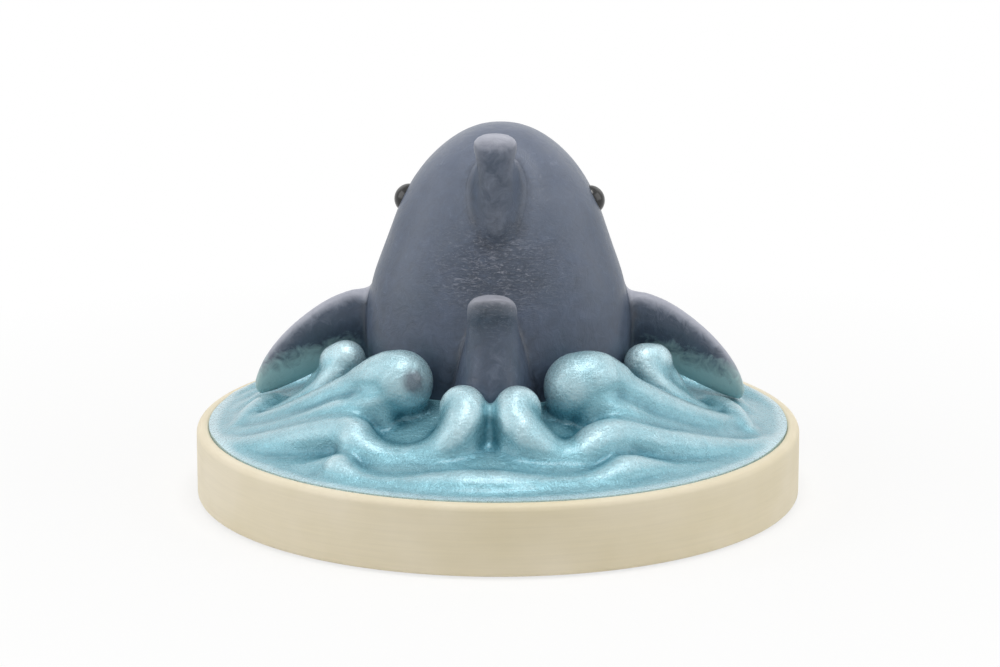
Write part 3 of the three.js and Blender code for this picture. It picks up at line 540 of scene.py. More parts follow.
def makeBeech():
    # beech dowel, sawn and left bare: straight grain with short dark flecks
    material, tree, shader, place = newMaterial("beechDowelBare")
    grainwise = addNode(tree, "Mapping", {"Scale": (1, 1, 0.08)}, {"Vector": place})
    grain = addNode(tree, "TexNoise", {"Scale": 1000 / 0.3, "Detail": 4.0, "Roughness": 0.7},
                    {"Vector": grainwise.outputs[0]})
    colour = addNode(tree, "Mix",
                     {"data_type": "RGBA", 6: linearColour("#b98f63"), 7: linearColour("#d8b78c")},
                     {0: grain.outputs["Fac"]})
    tree.links.new(colour.outputs[2], shader.inputs["Base Color"])
    shader.inputs["Roughness"].default_value = 0.7
    bump = addNode(tree, "Bump", {"Strength": 0.4, "Distance": 0.00005}, {"Height": grain.outputs["Fac"]})
    tree.links.new(bump.outputs[0], shader.inputs["Normal"])
    return material


# Base board: turned disc with a raised rim, a dish for the sea and a recess for the felt

board = {"sides": 240, "rimWidth": 2.0, "dishDepth": 2.8, "rimRound": 1.2, "innerRound": 0.5,
         "footRound": 0.8, "padRadius": 43.3, "padRecess": 1.2}


def discAs(node, sides):
    # a disc of a CAD node's size, left in edit mode
    low, high = cadSize(node)
    deselectAll()
    bpy.ops.mesh.primitive_cylinder_add(vertices=sides, radius=high.x, depth=high.z - low.z,
                                        location=(0, 0, (high.z + low.z) / 2))
    bpy.ops.object.transform_apply(location=True)
    bpy.ops.object.mode_set(mode="EDIT")
    return bpy.context.object, low, high


def makeBoard():
    piece, low, high = discAs("base_disc", board["sides"])
    radius = high.x
    selectWhere(piece, "faces", lambda middle, face: middle.z > high.z - 0.01)
    bpy.ops.mesh.inset(thickness=board["rimWidth"])
    bpy.ops.mesh.extrude_region_move(TRANSFORM_OT_translate={"value": (0, 0, -board["dishDepth"])})
    selectWhere(piece, "faces", lambda middle, face: middle.z < low.z + 0.01)
    bpy.ops.mesh.inset(thickness=radius - board["padRadius"])
    bpy.ops.mesh.extrude_region_move(TRANSFORM_OT_translate={"value": (0, 0, board["padRecess"])})

    def ringAt(distance, height):
        def test(middle, edge):
            return all(abs(v.co.xy.length - distance) < 0.05 and abs(v.co.z - height) < 0.01
                       for v in edge.verts)
        return test

    for distance, height, size, segments in (
        (radius, high.z, board["rimRound"], 7),
        (radius, low.z, board["footRound"], 5),
        (radius - board["rimWidth"], high.z, board["innerRound"], 4),
    ):
        selectWhere(piece, "edges", ringAt(distance, height))
        bpy.ops.mesh.bevel(offset=size, segments=segments, affect="EDGES")
    bpy.ops.object.mode_set(mode="OBJECT")
    return piece


# Felt pad

pad = {"sides": 160, "edgeRound": 0.3}


def makePad():
    piece, low, high = discAs("felt_pad", pad["sides"])
    selectWhere(piece, "edges",
                lambda middle, edge: abs(middle.z - low.z) < 0.01 and middle.xy.length > high.x - 1)
    bpy.ops.mesh.bevel(offset=pad["edgeRound"], segments=3, affect="EDGES")
    bpy.ops.object.mode_set(mode="OBJECT")
    return piece


# Shark: body, fins and tail are shaped as forms of their own, melted into one skin and cut apart again

body = {
    "foot": cadSize("shark_body")[0].z, "height": 48.0, "halfWidth": 21.9, "back": 16.5, "front": 23.0,
    "exponent": 2.2, "rings": 24, "sides": 40, "crownward": 1.15,
    # height, half width, back, front and the place of the widest line, as shares
    "stations": [
        (0, 0.9, 0.94, 0.67, 0.04),
        (0.17, 0.975, 0.97, 0.74, 0.04),
        (0.33, 1, 0.93, 0.75, 0.04),
        (0.475, 0.96, 0.825, 0.73, 0.05),
        (0.58, 0.88, 0.72, 0.75, 0.09),
        (0.66, 0.815, 0.612, 0.85, 0.13),
        (0.745, 0.744, 0.485, 0.965, 0.17),
        (0.828, 0.638, 0.315, 1, 0.226),
        (0.9, 0.5, 0.127, 0.92, 0.274),
        (0.957, 0.335, -0.1, 0.75, 0.32),
        (0.99, 0.165, -0.3, 0.56, 0.36),
        (1, 0, -0.52, 0.37, 0.37),
    ],
}


def bodySection(share):
    height, width, back, front, middle = between(body["stations"], share)
    return {
        "z": height * body["height"], "half": max(width, 0.002) * body["halfWidth"],
        "back": -back * body["back"],
        "front": front * body["front"], "middle": middle * body["front"],
    }


def sectionAt(height):
    low, high = 0.0, 1.0
    while high - low > 1e-6:
        half = (low + high) / 2
        if bodySection(half)["z"] < height:
            low = half
        else:
            high = half
    return bodySection(low)


def wallAt(height, y):
    # half width of the body at a height above its foot and a place along Y
    section = sectionAt(height)
    ahead, behind = section["front"] - section["middle"], section["middle"] - section["back"]
    reach = ahead if y > section["middle"] else behind
    share = min(abs((y - section["middle"]) / reach), 1)
    return section["half"] * (1 - share ** body["exponent"]) ** (1 / body["exponent"])


def faceAt(height, x):
    # how far forward the skin is at a height above the foot and a place across
    section = sectionAt(height)
    share = min(abs(x) / section["half"], 1)
    bulge = (1 - share ** body["exponent"]) ** (1 / body["exponent"])
    return section["middle"] + (section["front"] - section["middle"]) * bulge


def makeBodyForm(grown=0.0):
    rings = []
    shares = roundSection(body["sides"], body["exponent"])
    for r in range(body["rings"] + 1):
        s = bodySection(1 - (1 - r / body["rings"]) ** body["crownward"])
        half = max(s["half"] + grown, 0.02)
        front = max(s["front"] - s["middle"] + grown, 0.02)
        back = max(s["middle"] - s["back"] + grown, 0.02)
        height = s["z"] * (1 + grown / body["height"])
        rings.append([
            Vector((half * across, s["middle"] + along * (front if along > 0 else back), height))
            for across, along in shares
        ])
    return ringStack("bodyForm", rings)


fin = {"rings": 20, "sides": 20, "exponent": 2.1}


def makeFinForm(name, sections, wideFront=0.0):
    # sections: middle, half chord and half thickness as vectors; the front end may be wider than the rear
    table = [[*s["middle"], *s["chord"], *s["thick"]] for s in sections]
    shares = roundSection(fin["sides"], fin["exponent"])
    rings = []
    for r in range(fin["rings"] + 1):
        row = between(table, r / fin["rings"])
        middle, chord, thick = Vector(row[:3]), Vector(row[3:6]), Vector(row[6:])
        rings.append([middle + chord * along + thick * across * (1 + wideFront * along)
                      for along, across in shares])
    return ringStack(name, rings)


dorsal = {
    "level": 38.3, "height": 9.8, "chord": 16.5, "thickness": 6.4, "slopeSpan": 6.0, "wideFront": 0.12,
    # how far out, lower and upper end along the back, half thickness, as shares
    "rows": [
        (-0.45, -0.45, 0.42, 0.76),
        (-0.03, -0.46, 0.51, 0.68),
        (0.14, -0.38, 0.49, 0.57),
        (0.38, -0.2, 0.46, 0.5),
        (0.66, 0, 0.44, 0.48),
        (0.86, 0.16, 0.452, 0.56),
        (0.95, 0.23, 0.458, 0.52),
        (0.99, 0.3, 0.44, 0.38),
        (1, 0.34, 0.42, 0.2),
    ],
}


def makeDorsalForm():
    root = sectionAt(dorsal["level"])
    below = sectionAt(dorsal["level"] - dorsal["slopeSpan"])
    above = sectionAt(dorsal["level"] + dorsal["slopeSpan"])
    upBack = Vector((0, above["back"] - below["back"], above["z"] - below["z"])).normalized()
    offBack = Vector((0, -upBack.z, upBack.y))
    start = Vector((0, root["back"], root["z"]))
    sections = [
        {
            "middle": start + upBack * ((lower + upper) / 2 * dorsal["chord"])
            + offBack * (out * dorsal["height"]),
            "chord": upBack * ((upper - lower) / 2 * dorsal["chord"]),
            "thick": Vector((thickness * dorsal["thickness"], 0, 0)),
        }
        for out, lower, upper, thickness in dorsal["rows"]
    ]
    return makeFinForm("dorsalForm", sections, dorsal["wideFront"])


tail = {
    "height": 26.0, "thickness": 9.6, "chord": 17.2,
    # height, rear and front end behind the line of the back, half thickness, as shares
    "rows": [
        (0, 0.5, -0.5, 0.84),
        (0.2, 0.53, -0.5, 0.78),
        (0.42, 0.5, -0.42, 0.63),
        (0.62, 0.43, -0.3, 0.5),
        (0.8, 0.4, -0.1, 0.43),
        (0.9, 0.44, 0.08, 0.43),
        (0.955, 0.46, 0.15, 0.38),
        (0.99, 0.46, 0.22, 0.27),
        (1, 0.44, 0.27, 0.12),
    ],
}


def makeTailForm():
    sections = [
        {
            "middle": Vector((0, -body["back"] - (rear + front) / 2 * tail["chord"],
                              height * tail["height"])),
            "chord": Vector((0, (front - rear) / 2 * tail["chord"], 0)),
            "thick": Vector((thickness * tail["thickness"], 0, 0)),
        }
        for height, rear, front, thickness in tail["rows"]
    ]
    return makeFinForm("tailForm", sections)


pectoral = {
    "shoulder": 21.2, "forward": 3.0, "rootX": 16.0, "reach": 41.0, "droop": 19.0, "thickness": 5.2,
    "sweep": 3.4, "tilt": 16.0,
    # how far out and down the upper edge is, then the lower edge, and the half thickness, as shares
    "rows": [
        (0, -0.03, 0, 0.74, 0.5),
        (0.25, -0.01, 0.22, 0.7, 0.5),
        (0.47, 0.085, 0.4, 0.71, 0.48),
        (0.66, 0.255, 0.56, 0.79, 0.44),
        (0.82, 0.455, 0.71, 0.885, 0.38),
        (0.93, 0.655, 0.85, 0.965, 0.3),
        (0.99, 0.84, 0.94, 0.995, 0.22),
        (1, 0.93, 0.97, 1, 0.1),
    ],
}


def finEdge(out, down):
    slope = math.tan(math.radians(pectoral["tilt"]))
    y = pectoral["forward"] - pectoral["sweep"] * out ** 2 + down * pectoral["droop"] * slope
    return Vector((pectoral["rootX"] + out * (pectoral["reach"] - pectoral["rootX"]), y,
                   pectoral["shoulder"] - down * pectoral["droop"]))


def makePectoralForm():
    tilt = math.radians(pectoral["tilt"])
    flatSide = Vector((0, -math.cos(tilt), -math.sin(tilt)))
    sections = []
    for out, down, lowerOut, lowerDown, thickness in pectoral["rows"]:
        upper, lower = finEdge(out, down), finEdge(lowerOut, lowerDown)
        sections.append({"middle": (upper + lower) / 2, "chord": (upper - lower) / 2,
                         "thick": flatSide * (thickness * pectoral["thickness"])})
    return makeFinForm("pectoralForm", sections)


mouth = {"halfWidth": 10.5, "level": 31.5, "upperDrop": 3.0, "lowerDrop": 10.0, "depth": 3.0, "steps": 20,
         "start": 4.0, "end": 40.0}


def lipAt(x, drop):
    return mouth["level"] - drop * (1 - (x / mouth["halfWidth"]) ** 2)


def makeMouthCutter():
    # the opening between the lips, drawn out forwards,
    # less a smaller copy of the head that is the back of the mouth
    xs = [mouth["halfWidth"] * (2 * i / mouth["steps"] - 1) for i in range(mouth["steps"] + 1)]
    outline = ([(x, lipAt(x, mouth["lowerDrop"])) for x in xs]
               + [(x, lipAt(x, mouth["upperDrop"])) for x in xs[-2:0:-1]])
    rings = []
    for y in (mouth["start"], mouth["end"]):
        rings.append([Vector((x, y, z)) for x, z in outline])
    cutter = ringStack("mouthCutter", rings)
    core = makeBodyForm(-mouth["depth"])
    combine(cutter, core, "DIFFERENCE")
    return cutter


eye = {"radius": 2.5, "sunk": 1.3, "level": 35.8, "forward": 5.5, "stemRadius": 0.7, "stemLength": 4.0,
       "room": 0.04}
gill = {"count": 3, "spacing": 2.5, "level": 26.3, "length": 6.0, "bow": 0.9, "width": 0.42, "depth": 0.5}
skin = {"voxel": 0.34, "blendReach": 3.2, "blendRounds": 90, "footRoom": 0.7, "hairline": 0.02}


def eyePlace(side):
    return Vector((side * (wallAt(eye["level"], eye["forward"]) - eye["sunk"]), eye["forward"],
                   eye["level"]))


def softenMeeting(piece, first, second, reach, rounds):
    # rounds off the crease where two forms meet
    trees = []
    for form in (first, second):
        places = [v.co.copy() for v in form.data.vertices]
        trees.append(BVHTree.FromPolygons(places, [p.vertices[:] for p in form.data.polygons]))
    low, high = vertexPlaces(second).min(0) - reach, vertexPlaces(second).max(0) + reach
    group = piece.vertex_groups.new(name="meeting")
    places = vertexPlaces(piece)
    for i in np.nonzero(((places > low) & (places < high)).all(1))[0]:
        distance = max(tree.find_nearest(places[i], reach)[3] or reach for tree in trees)
        if distance < reach:
            group.add([int(i)], min(1.0, 1.6 * (1 - distance / reach)), "REPLACE")
    applyModifier(piece, "SMOOTH", factor=0.5, iterations=rounds, vertex_group="meeting")
    piece.vertex_groups.remove(piece.vertex_groups["meeting"])


def pressGills(piece):
    # shallow bowed grooves behind the eye, pressed in along the skin's own normals
    places, normals = vertexPlaces(piece), vertexNormals(piece)
    side = np.abs(places[:, 0])
    up = (places[:, 2] - gill["level"]) / gill["length"]
    depth = np.zeros(len(places))
    for n in range(gill["count"]):
        line = eye["forward"] + n * gill["spacing"] + gill["bow"] * np.cos(math.pi * np.clip(up, -0.5, 0.5))
        off = (places[:, 1] - line) / gill["width"]
        ends = np.clip(1 - np.abs(2 * up) ** 4, 0, 1)
        depth = np.maximum(depth, np.exp(-off ** 2) * ends)
    depth[(side < 8) | (np.abs(up) > 0.5)] = 0
    piece.data.vertices.foreach_set("co", (places - normals * (gill["depth"] * depth)[:, None]).ravel())
    piece.data.update()


def subdivided(form, levels=2):
    applyModifier(form, "SUBSURF", levels=levels, render_levels=levels)
    return form


def makeShark():
    bodyForm = subdivided(makeBodyForm())
    forms = {"dorsal": makeDorsalForm(), "tail": makeTailForm(), "right": makePectoralForm()}
    forms["left"] = copyOf(forms["right"], "pectoralFormLeft")
    mirrorOver(forms["left"])
    for form in forms.values():
        subdivided(form, 1)
    whole = copyOf(bodyForm, "sharkWhole")
    for form in forms.values():
        combine(whole, form, "UNION", keepOther=True)
    combine(whole, makeMouthCutter(), "DIFFERENCE")
    applyModifier(whole, "REMESH", mode="VOXEL", voxel_size=skin["voxel"])
    for name, form in forms.items():
        softenMeeting(whole, bodyForm, form, skin["blendReach"], skin["blendRounds"])
    applyModifier(whole, "SMOOTH", factor=0.5, iterations=5)
    pressGills(whole)
    keepRelief(whole, 40, 0.5)
    print("shark skin melted together:", len(whole.data.polygons), "faces")
    return whole, bodyForm, forms


def grownCopy(form, size):
    # a copy that is fatter all over, to cut room for it
    grown = copyOf(form, form.name + "Room")
    grown.data.vertices.foreach_set("co", (vertexPlaces(form) + vertexNormals(form) * size).ravel())
    grown.data.update()
    return grown


# Colour areas of the skin, as shares from 0 to 1 at each point

areas = {
    "saddleHalf": 8.5, "saddleLevel": 27.5, "saddleSpan": 6.0,
    "bellyStart": 6.0, "bellyFade": 6.0, "bellyTop": 27.0, "bellyHalf": 21.0,
    "washStart": 21.5, "washFade": 3.0, "capDepth": 7.0, "wingDepth": 40.0,
}


def keepSkinAreas(piece):
    places = vertexPlaces(piece)
    x, y, z = places.T
    side = np.abs(x)
    keepAttribute(piece, "up", vertexNormals(piece)[:, 2])
    offMiddle = (x / areas["saddleHalf"]) ** 2 + ((z - areas["saddleLevel"]) / areas["saddleSpan"]) ** 2
    saddle = np.exp(-offMiddle) * (y < 0)
    keepAttribute(piece, "saddle", np.clip(saddle * 1.2, 0, 1))
    front = (y - areas["bellyStart"]) / areas["bellyFade"]
    front = front - np.maximum(z - areas["bellyTop"], 0) * 0.35 - (side / 19.0) ** 4
    keepAttribute(piece, "belly", np.clip(front, 0, 1) * (side < areas["bellyHalf"]))
    out = (side - pectoral["rootX"]) / (pectoral["reach"] - pectoral["rootX"])
    down = (pectoral["shoulder"] - z) / pectoral["droop"]
    lowerEdge = 0.68 + 0.33 * np.clip(out, 0, 1) ** 2
    washed = 1 - (lowerEdge - 0.03 - down) / 0.42
    keepAttribute(piece, "wash",
                  np.clip(washed, 0, 1) * np.clip((side - areas["washStart"]) / areas["washFade"], 0, 1))
    upperLip, lowerLip = lipAt(x, mouth["upperDrop"]) + 0.1, lipAt(x, mouth["lowerDrop"]) - 0.1
    betweenLips = (z < upperLip) & (z > lowerLip) & (side < mouth["halfWidth"])
    keepAttribute(piece, "mouth", betweenLips & (y > 3) & (y < [faceAt(h, a) - 0.7 for h, a in zip(z, x)]))


def keepRubbedAndHighlitEdge(piece, depth):
    # the upper edge of a fin, paler where it faces up: rubbed pale paint and a painted highlight
    z = vertexPlaces(piece)[:, 2]
    facing = np.clip((vertexNormals(piece)[:, 2] - 0.05) / 0.55, 0, 1)
    keepAttribute(piece, "edge", facing * np.clip((z - z.max() + depth) / (0.5 * depth), 0, 1))


def nearestOf(places):
    tree = KDTree(len(places))
    for i, place in enumerate(places):
        tree.insert(place, i)
    tree.balance()
    return tree


def cutShark(whole, forms):
    # the skin cut into the body casting and its four fins, with a hairline between them
    tree = nearestOf(vertexPlaces(whole))
    relief = np.empty(len(whole.data.vertices), dtype=np.float32)
    whole.data.attributes["relief"].data.foreach_get("value", relief)
    pieces = {}
    for name, form in forms.items():
        pieces[name] = copyOf(whole, name)
        for piece, size, operation in ((pieces[name], skin["footRoom"], "INTERSECT"),
                                       (whole, skin["footRoom"] + skin["hairline"], "DIFFERENCE")):
            combine(piece, grownCopy(form, size), operation)
    pieces["body"] = whole
    for piece in pieces.values():
        keepAttribute(piece, "relief", relief[[tree.find(v.co)[1] for v in piece.data.vertices]])
        keepSkinAreas(piece)
    for name in forms:
        keepRubbedAndHighlitEdge(pieces[name], areas["capDepth" if name in ("dorsal", "tail") else "wingDepth"])
    return pieces


def rod(name, start, end, radius, sides=32):
    # a closed cylinder from one point to the other
    axis = end - start
    turn = axis.to_track_quat("Z", "Y")
    circle = [turn @ point for point in circleOf(radius, sides)]
    return ringStack(name, [[start + p for p in circle], [end + p for p in circle]])


# Eyes: glass beads on stems, each in a socket of its own


def makeBead(side, grown=0.0):
    centre = eyePlace(side)
    deselectAll()
    bpy.ops.mesh.primitive_uv_sphere_add(segments=64, ring_count=40, radius=eye["radius"] + grown,
                                         location=centre)
    bead = bpy.context.object
    bpy.ops.object.transform_apply(location=True)
    stemEnd = centre - Vector((side * (eye["radius"] + eye["stemLength"] + grown), 0, 0))
    combine(bead, rod("stem", centre, stemEnd, eye["stemRadius"] + grown), "UNION")
    return bead


# Teeth: two cast strips, a row of rounded points on each

teeth = {
    "height": 2.2, "setback": 0.8, "row": 0.76, "upper": 9, "lower": 8, "gap": 0.12, "gumShare": 0.3,
    "perTooth": 10, "voxel": 0.12, "backRoom": 0.05,
}


def makeTeeth(name, count, drop, way):
    half = mouth["halfWidth"] * teeth["row"]
    steps = count * teeth["perTooth"]
    outline = []
    for i in range(steps + 1):
        outline.append((half * (2 * i / steps - 1), 0.0))
    for i in range(steps, -1, -1):
        rise = abs(math.sin(math.pi * i / teeth["perTooth"])) ** 0.8
        outline.append((half * (2 * i / steps - 1),
                        teeth["height"] * (teeth["gumShare"] + (1 - teeth["gumShare"]) * rise)))
    ring = [(x, lipAt(x, drop) + way * (teeth["gap"] + h * (1 - (x / mouth["halfWidth"]) ** 2)))
            for x, h in outline]
    strip = ringStack(name, [[Vector((x, y, z)) for x, z in ring] for y in (mouth["start"], mouth["end"])])
    combine(strip, makeBodyForm(-teeth["setback"]), "INTERSECT")
    combine(strip, makeBodyForm(teeth["backRoom"] - mouth["depth"]), "DIFFERENCE")
    applyModifier(strip, "REMESH", mode="VOXEL", voxel_size=teeth["voxel"])
    applyModifier(strip, "SMOOTH", factor=0.5, iterations=4)
    places = vertexPlaces(strip)
    lip = np.array([lipAt(x, drop) for x in places[:, 0]])
    keepAttribute(strip, "root", np.clip(1 - np.abs(places[:, 2] - lip) / (0.6 * teeth["height"]), 0, 1))
    return strip


# Sea: a round swell with rolls and curls laid over it, melted together

sea = {
    "radius": 47.97, "brim": 1.2, "plate": 3.3, "edge": 0.25, "swell": 7.5, "rim": 2.8,
    "crest": 16.8, "curl": 5.6, "skirt": 0.4, "spread": 0.13, "overhang": 14.0,
    "rings": 30, "underside": 0.8, "sharkRoom": 0.06, "voxel": 0.47, "fillet": 0.4, "melt": 6,
    "waterSides": 160, "edgeSides": 720,
    "water": [(0, 1), (0.36, 1), (0.45, 0.93), (0.6, 0.68), (0.78, 0.38), (0.92, 0.13), (1, 0.02)],
}

# Each row: bearing in degrees from straight behind the shark, reach from its skin to the edge of the water,
# height of the crest as a share of the tallest, radius as a share of the biggest curl's
rolls = {
    "tallCurlLeft": [
        (100, 0.95, -0.01, 0.4), (92, 0.88, 0.03, 0.56), (85, 0.78, 0.09, 0.64), (78, 0.67, 0.19, 0.64),
        (71, 0.55, 0.35, 0.6),
        (64, 0.45, 0.52, 0.56), (58, 0.37, 0.66, 0.56), (52, 0.31, 0.78, 0.59),
    ],
    "tallCurlRight": [
        (104, 0.94, -0.01, 0.4), (95, 0.85, 0.04, 0.58), (87, 0.74, 0.11, 0.68), (79, 0.63, 0.22, 0.7),
        (71, 0.53, 0.36, 0.68),
        (63, 0.43, 0.53, 0.65), (56, 0.35, 0.68, 0.64), (50, 0.29, 0.82, 0.66),
    ],
    "underFoldLeft": [
        (95, 0.98, -0.02, 0.36), (86, 0.94, 0.01, 0.5), (77, 0.86, 0.06, 0.56), (70, 0.75, 0.15, 0.54),
        (63, 0.64, 0.28, 0.5),
        (56, 0.57, 0.41, 0.46), (50, 0.5, 0.53, 0.45), (45, 0.44, 0.58, 0.46), (40, 0.34, 0.71, 0.5),
    ],
    "underFoldRight": [
        (98, 0.98, -0.02, 0.4), (89, 0.91, 0.02, 0.52), (81, 0.82, 0.06, 0.56), (73, 0.71, 0.12, 0.55),
        (65, 0.61, 0.2, 0.5),
        (58, 0.54, 0.31, 0.46), (52, 0.48, 0.41, 0.44), (46, 0.44, 0.54, 0.45), (42, 0.4, 0.6, 0.46),
        (37, 0.32, 0.75, 0.5),
    ],
    "windingRollLeft": [
        (90, 1.0, -0.03, 0.36), (81, 0.99, 0, 0.5), (73, 0.95, 0.04, 0.6), (66, 0.88, 0.1, 0.66),
        (59, 0.78, 0.22, 0.68),
        (52, 0.68, 0.34, 0.66), (46, 0.61, 0.42, 0.65),
        (40, 0.57, 0.46, 0.65), (36, 0.6, 0.43, 0.66), (32, 0.61, 0.34, 0.67), (27, 0.6, 0.27, 0.68),
        (21, 0.57, 0.27, 0.7), (16, 0.53, 0.35, 0.74), (11.5, 0.49, 0.6, 0.78), (9, 0.43, 0.74, 0.74),
        (9, 0.37, 0.79, 0.7),
    ],
    "windingRollRight": [
        (93, 1.0, -0.03, 0.36), (84, 0.98, 0.01, 0.5), (76, 0.93, 0.05, 0.6), (68, 0.86, 0.11, 0.66),
        (61, 0.77, 0.19, 0.68),
        (55, 0.7, 0.27, 0.66), (50, 0.645, 0.32, 0.65),
        (46, 0.61, 0.37, 0.66), (40, 0.55, 0.45, 0.68), (34, 0.54, 0.48, 0.7), (28, 0.555, 0.44, 0.7),
        (24, 0.56, 0.36, 0.7), (20, 0.55, 0.32, 0.72), (12, 0.49, 0.6, 0.78), (9.5, 0.43, 0.74, 0.74),
        (9, 0.37, 0.79, 0.7),
    ],
    "sideCurlLeft": [
        (88, 0.75, 0.05, 0.3), (84, 0.6, 0.18, 0.38), (81, 0.48, 0.32, 0.44), (78.5, 0.38, 0.46, 0.5),
        (77, 0.29, 0.66, 0.56), (77, 0.23, 0.77, 0.58),
    ],
    "sideCurlRight": [
        (88, 0.68, 0.11, 0.3), (84, 0.54, 0.22, 0.38), (81, 0.43, 0.35, 0.44), (78, 0.33, 0.51, 0.5),
        (76.5, 0.25, 0.69, 0.57), (76.5, 0.2, 0.8, 0.59),
    ],
    "sideStrandLeft": [
        (87.5, 0.5, 0.08, 0.26), (86, 0.42, 0.29, 0.32), (84.5, 0.36, 0.48, 0.37), (83, 0.3, 0.59, 0.4),
        (82, 0.25, 0.66, 0.4),
    ],
    "sideStrandRight": [
        (87.5, 0.46, 0.15, 0.26), (86, 0.38, 0.35, 0.32), (84.5, 0.33, 0.54, 0.37), (83, 0.27, 0.67, 0.4),
        (81.5, 0.22, 0.74, 0.4),
    ],
    "tipSwellLeft": [
        (78, 0.82, 0.1, 0.3), (84, 0.73, 0.19, 0.43), (90, 0.64, 0.23, 0.5), (98, 0.59, 0.18, 0.5),
        (107, 0.54, 0.15, 0.46), (116, 0.5, 0.11, 0.4),
    ],
    "tipSwellRight": [
        (78, 0.78, 0.15, 0.3), (84, 0.67, 0.25, 0.43), (90, 0.57, 0.27, 0.5), (98, 0.5, 0.22, 0.5),
        (108, 0.45, 0.19, 0.46), (118, 0.42, 0.15, 0.4),
    ],
    "lowSwell": [
        (-80, 1.02, -0.06, 0.34), (-68, 0.98, -0.02, 0.42), (-58, 0.93, 0.01, 0.48), (-50, 0.88, 0.03, 0.5),
        (-43, 0.83, 0.08, 0.53), (-38, 0.8, 0.16, 0.55),
        (-35, 0.79, 0.215, 0.575), (-33, 0.825, 0.22, 0.555), (-29, 0.845, 0.14, 0.54),
        (-24, 0.845, 0.1, 0.555),
        (-18, 0.83, 0.11, 0.58), (-10, 0.81, 0.17, 0.64), (0, 0.8, 0.2, 0.68), (9, 0.8, 0.155, 0.64),
        (17, 0.8, 0.12, 0.6), (23, 0.8, 0.13, 0.575), (28, 0.79, 0.19, 0.58), (32, 0.77, 0.245, 0.595),
        (37, 0.775, 0.2, 0.575), (43, 0.8, 0.11, 0.53), (51, 0.85, 0.06, 0.5), (60, 0.9, 0.03, 0.48),
        (70, 0.96, -0.01, 0.42),
        (82, 1.01, -0.06, 0.34),
    ],
    "middleMound": [(0, 0.36, 0.5, 0.6), (0, 0.3, 0.56, 0.66), (0, 0.18, 0.58, 0.66)],
}
# round heads of the curls, each a few balls that melt together
curlHeads = {
    "tallLeft": [
        (50, 0.29, 0.82, 0.63), (47, 0.275, 0.88, 0.7), (44, 0.26, 0.94, 0.77), (41, 0.24, 0.98, 0.85),
        (38, 0.22, 0.99, 0.96),
    ],
    "tallRight": [
        (47, 0.26, 0.89, 0.72), (44, 0.245, 0.95, 0.8), (41.5, 0.235, 0.99, 0.89), (39, 0.225, 1, 0.95),
        (36, 0.205, 0.985, 1.025),
    ],
    "sideLeft": [(80, 0.205, 0.83, 0.56), (78.5, 0.16, 0.875, 0.61)],
    "sideRight": [(80, 0.19, 0.87, 0.575), (78.5, 0.14, 0.875, 0.64)],
}


def seaPlace(bearing, reach, inFront):
    angle = math.radians(180 - bearing if inFront else bearing)
    x, y = math.sin(angle), -math.cos(angle)
    line = bodySection(0.12)
    depth = line["middle"] - line["back"] if y < 0 else line["front"] - line["middle"]
    a = (x / line["half"]) ** 2 + (y / depth) ** 2
    b = y * line["middle"] / depth ** 2
    c = (line["middle"] / depth) ** 2 - 1
    skinReach = (b + math.sqrt(b ** 2 - a * c)) / a
    distance = skinReach + reach * (sea["radius"] - skinReach)
    return x * distance, y * distance


def crestOf(row, inFront):
    bearing, reach, rise, size = row
    radius = size * sea["curl"]
    return [*seaPlace(bearing, reach, inFront), sea["rim"] + rise * sea["crest"] - radius, radius]


def makeRoll(rows, inFront):
    # a rounded crest on a skirt that spreads as it runs down into the casting, rounded off past both ends
    table = [crestOf(row, inFront) for row in rows]
    count = sea["rings"]
    stops = ([(0, -68), (0, -45), (0, -22)] + [(i / count, 0) for i in range(count + 1)]
             + [(1, 22), (1, 45), (1, 68)])
    over = math.radians(sea["overhang"])
    rings = []
    for u, turn in stops:
        x, y, z, full = between(table, u)
        ahead, behind = between(table, u + 0.02), between(table, u - 0.02)
        along = Vector((ahead[0] - behind[0], ahead[1] - behind[1], 0)).normalized()
        across = Vector((along.y, -along.x, 0))
        middle = Vector((x, y, 0)) + along * (full * math.sin(math.radians(turn)))
        thin = math.cos(math.radians(turn))
        radius = full * thin
        ring = []
        for i in range(15):
            angle = -over + (math.pi + 2 * over) * i / 14
            ring.append((radius * math.cos(angle), z + radius * math.sin(angle)))
        foot = sea["plate"] / 2
        start = z - radius * math.sin(over)
        spread = radius * sea["skirt"] + (start - foot) * sea["spread"] * thin
        flare = [(radius * math.cos(over) + spread * t ** 1.6, start + (foot - start) * t)
                 for t in (0.3, 0.55, 0.8, 1)]
        ring += [(-a, h) for a, h in flare] + flare[::-1]
        rings.append([middle + across * a + Vector((0, 0, h)) for a, h in ring])
    return ringStack("roll", rings)


def makeHead(row, inFront):
    x, y, z, radius = crestOf(row, inFront)
    deselectAll()
    bpy.ops.mesh.primitive_uv_sphere_add(segments=36, ring_count=24, radius=radius, location=(x, y, z))
    bpy.ops.object.transform_apply(location=True)
    return bpy.context.object


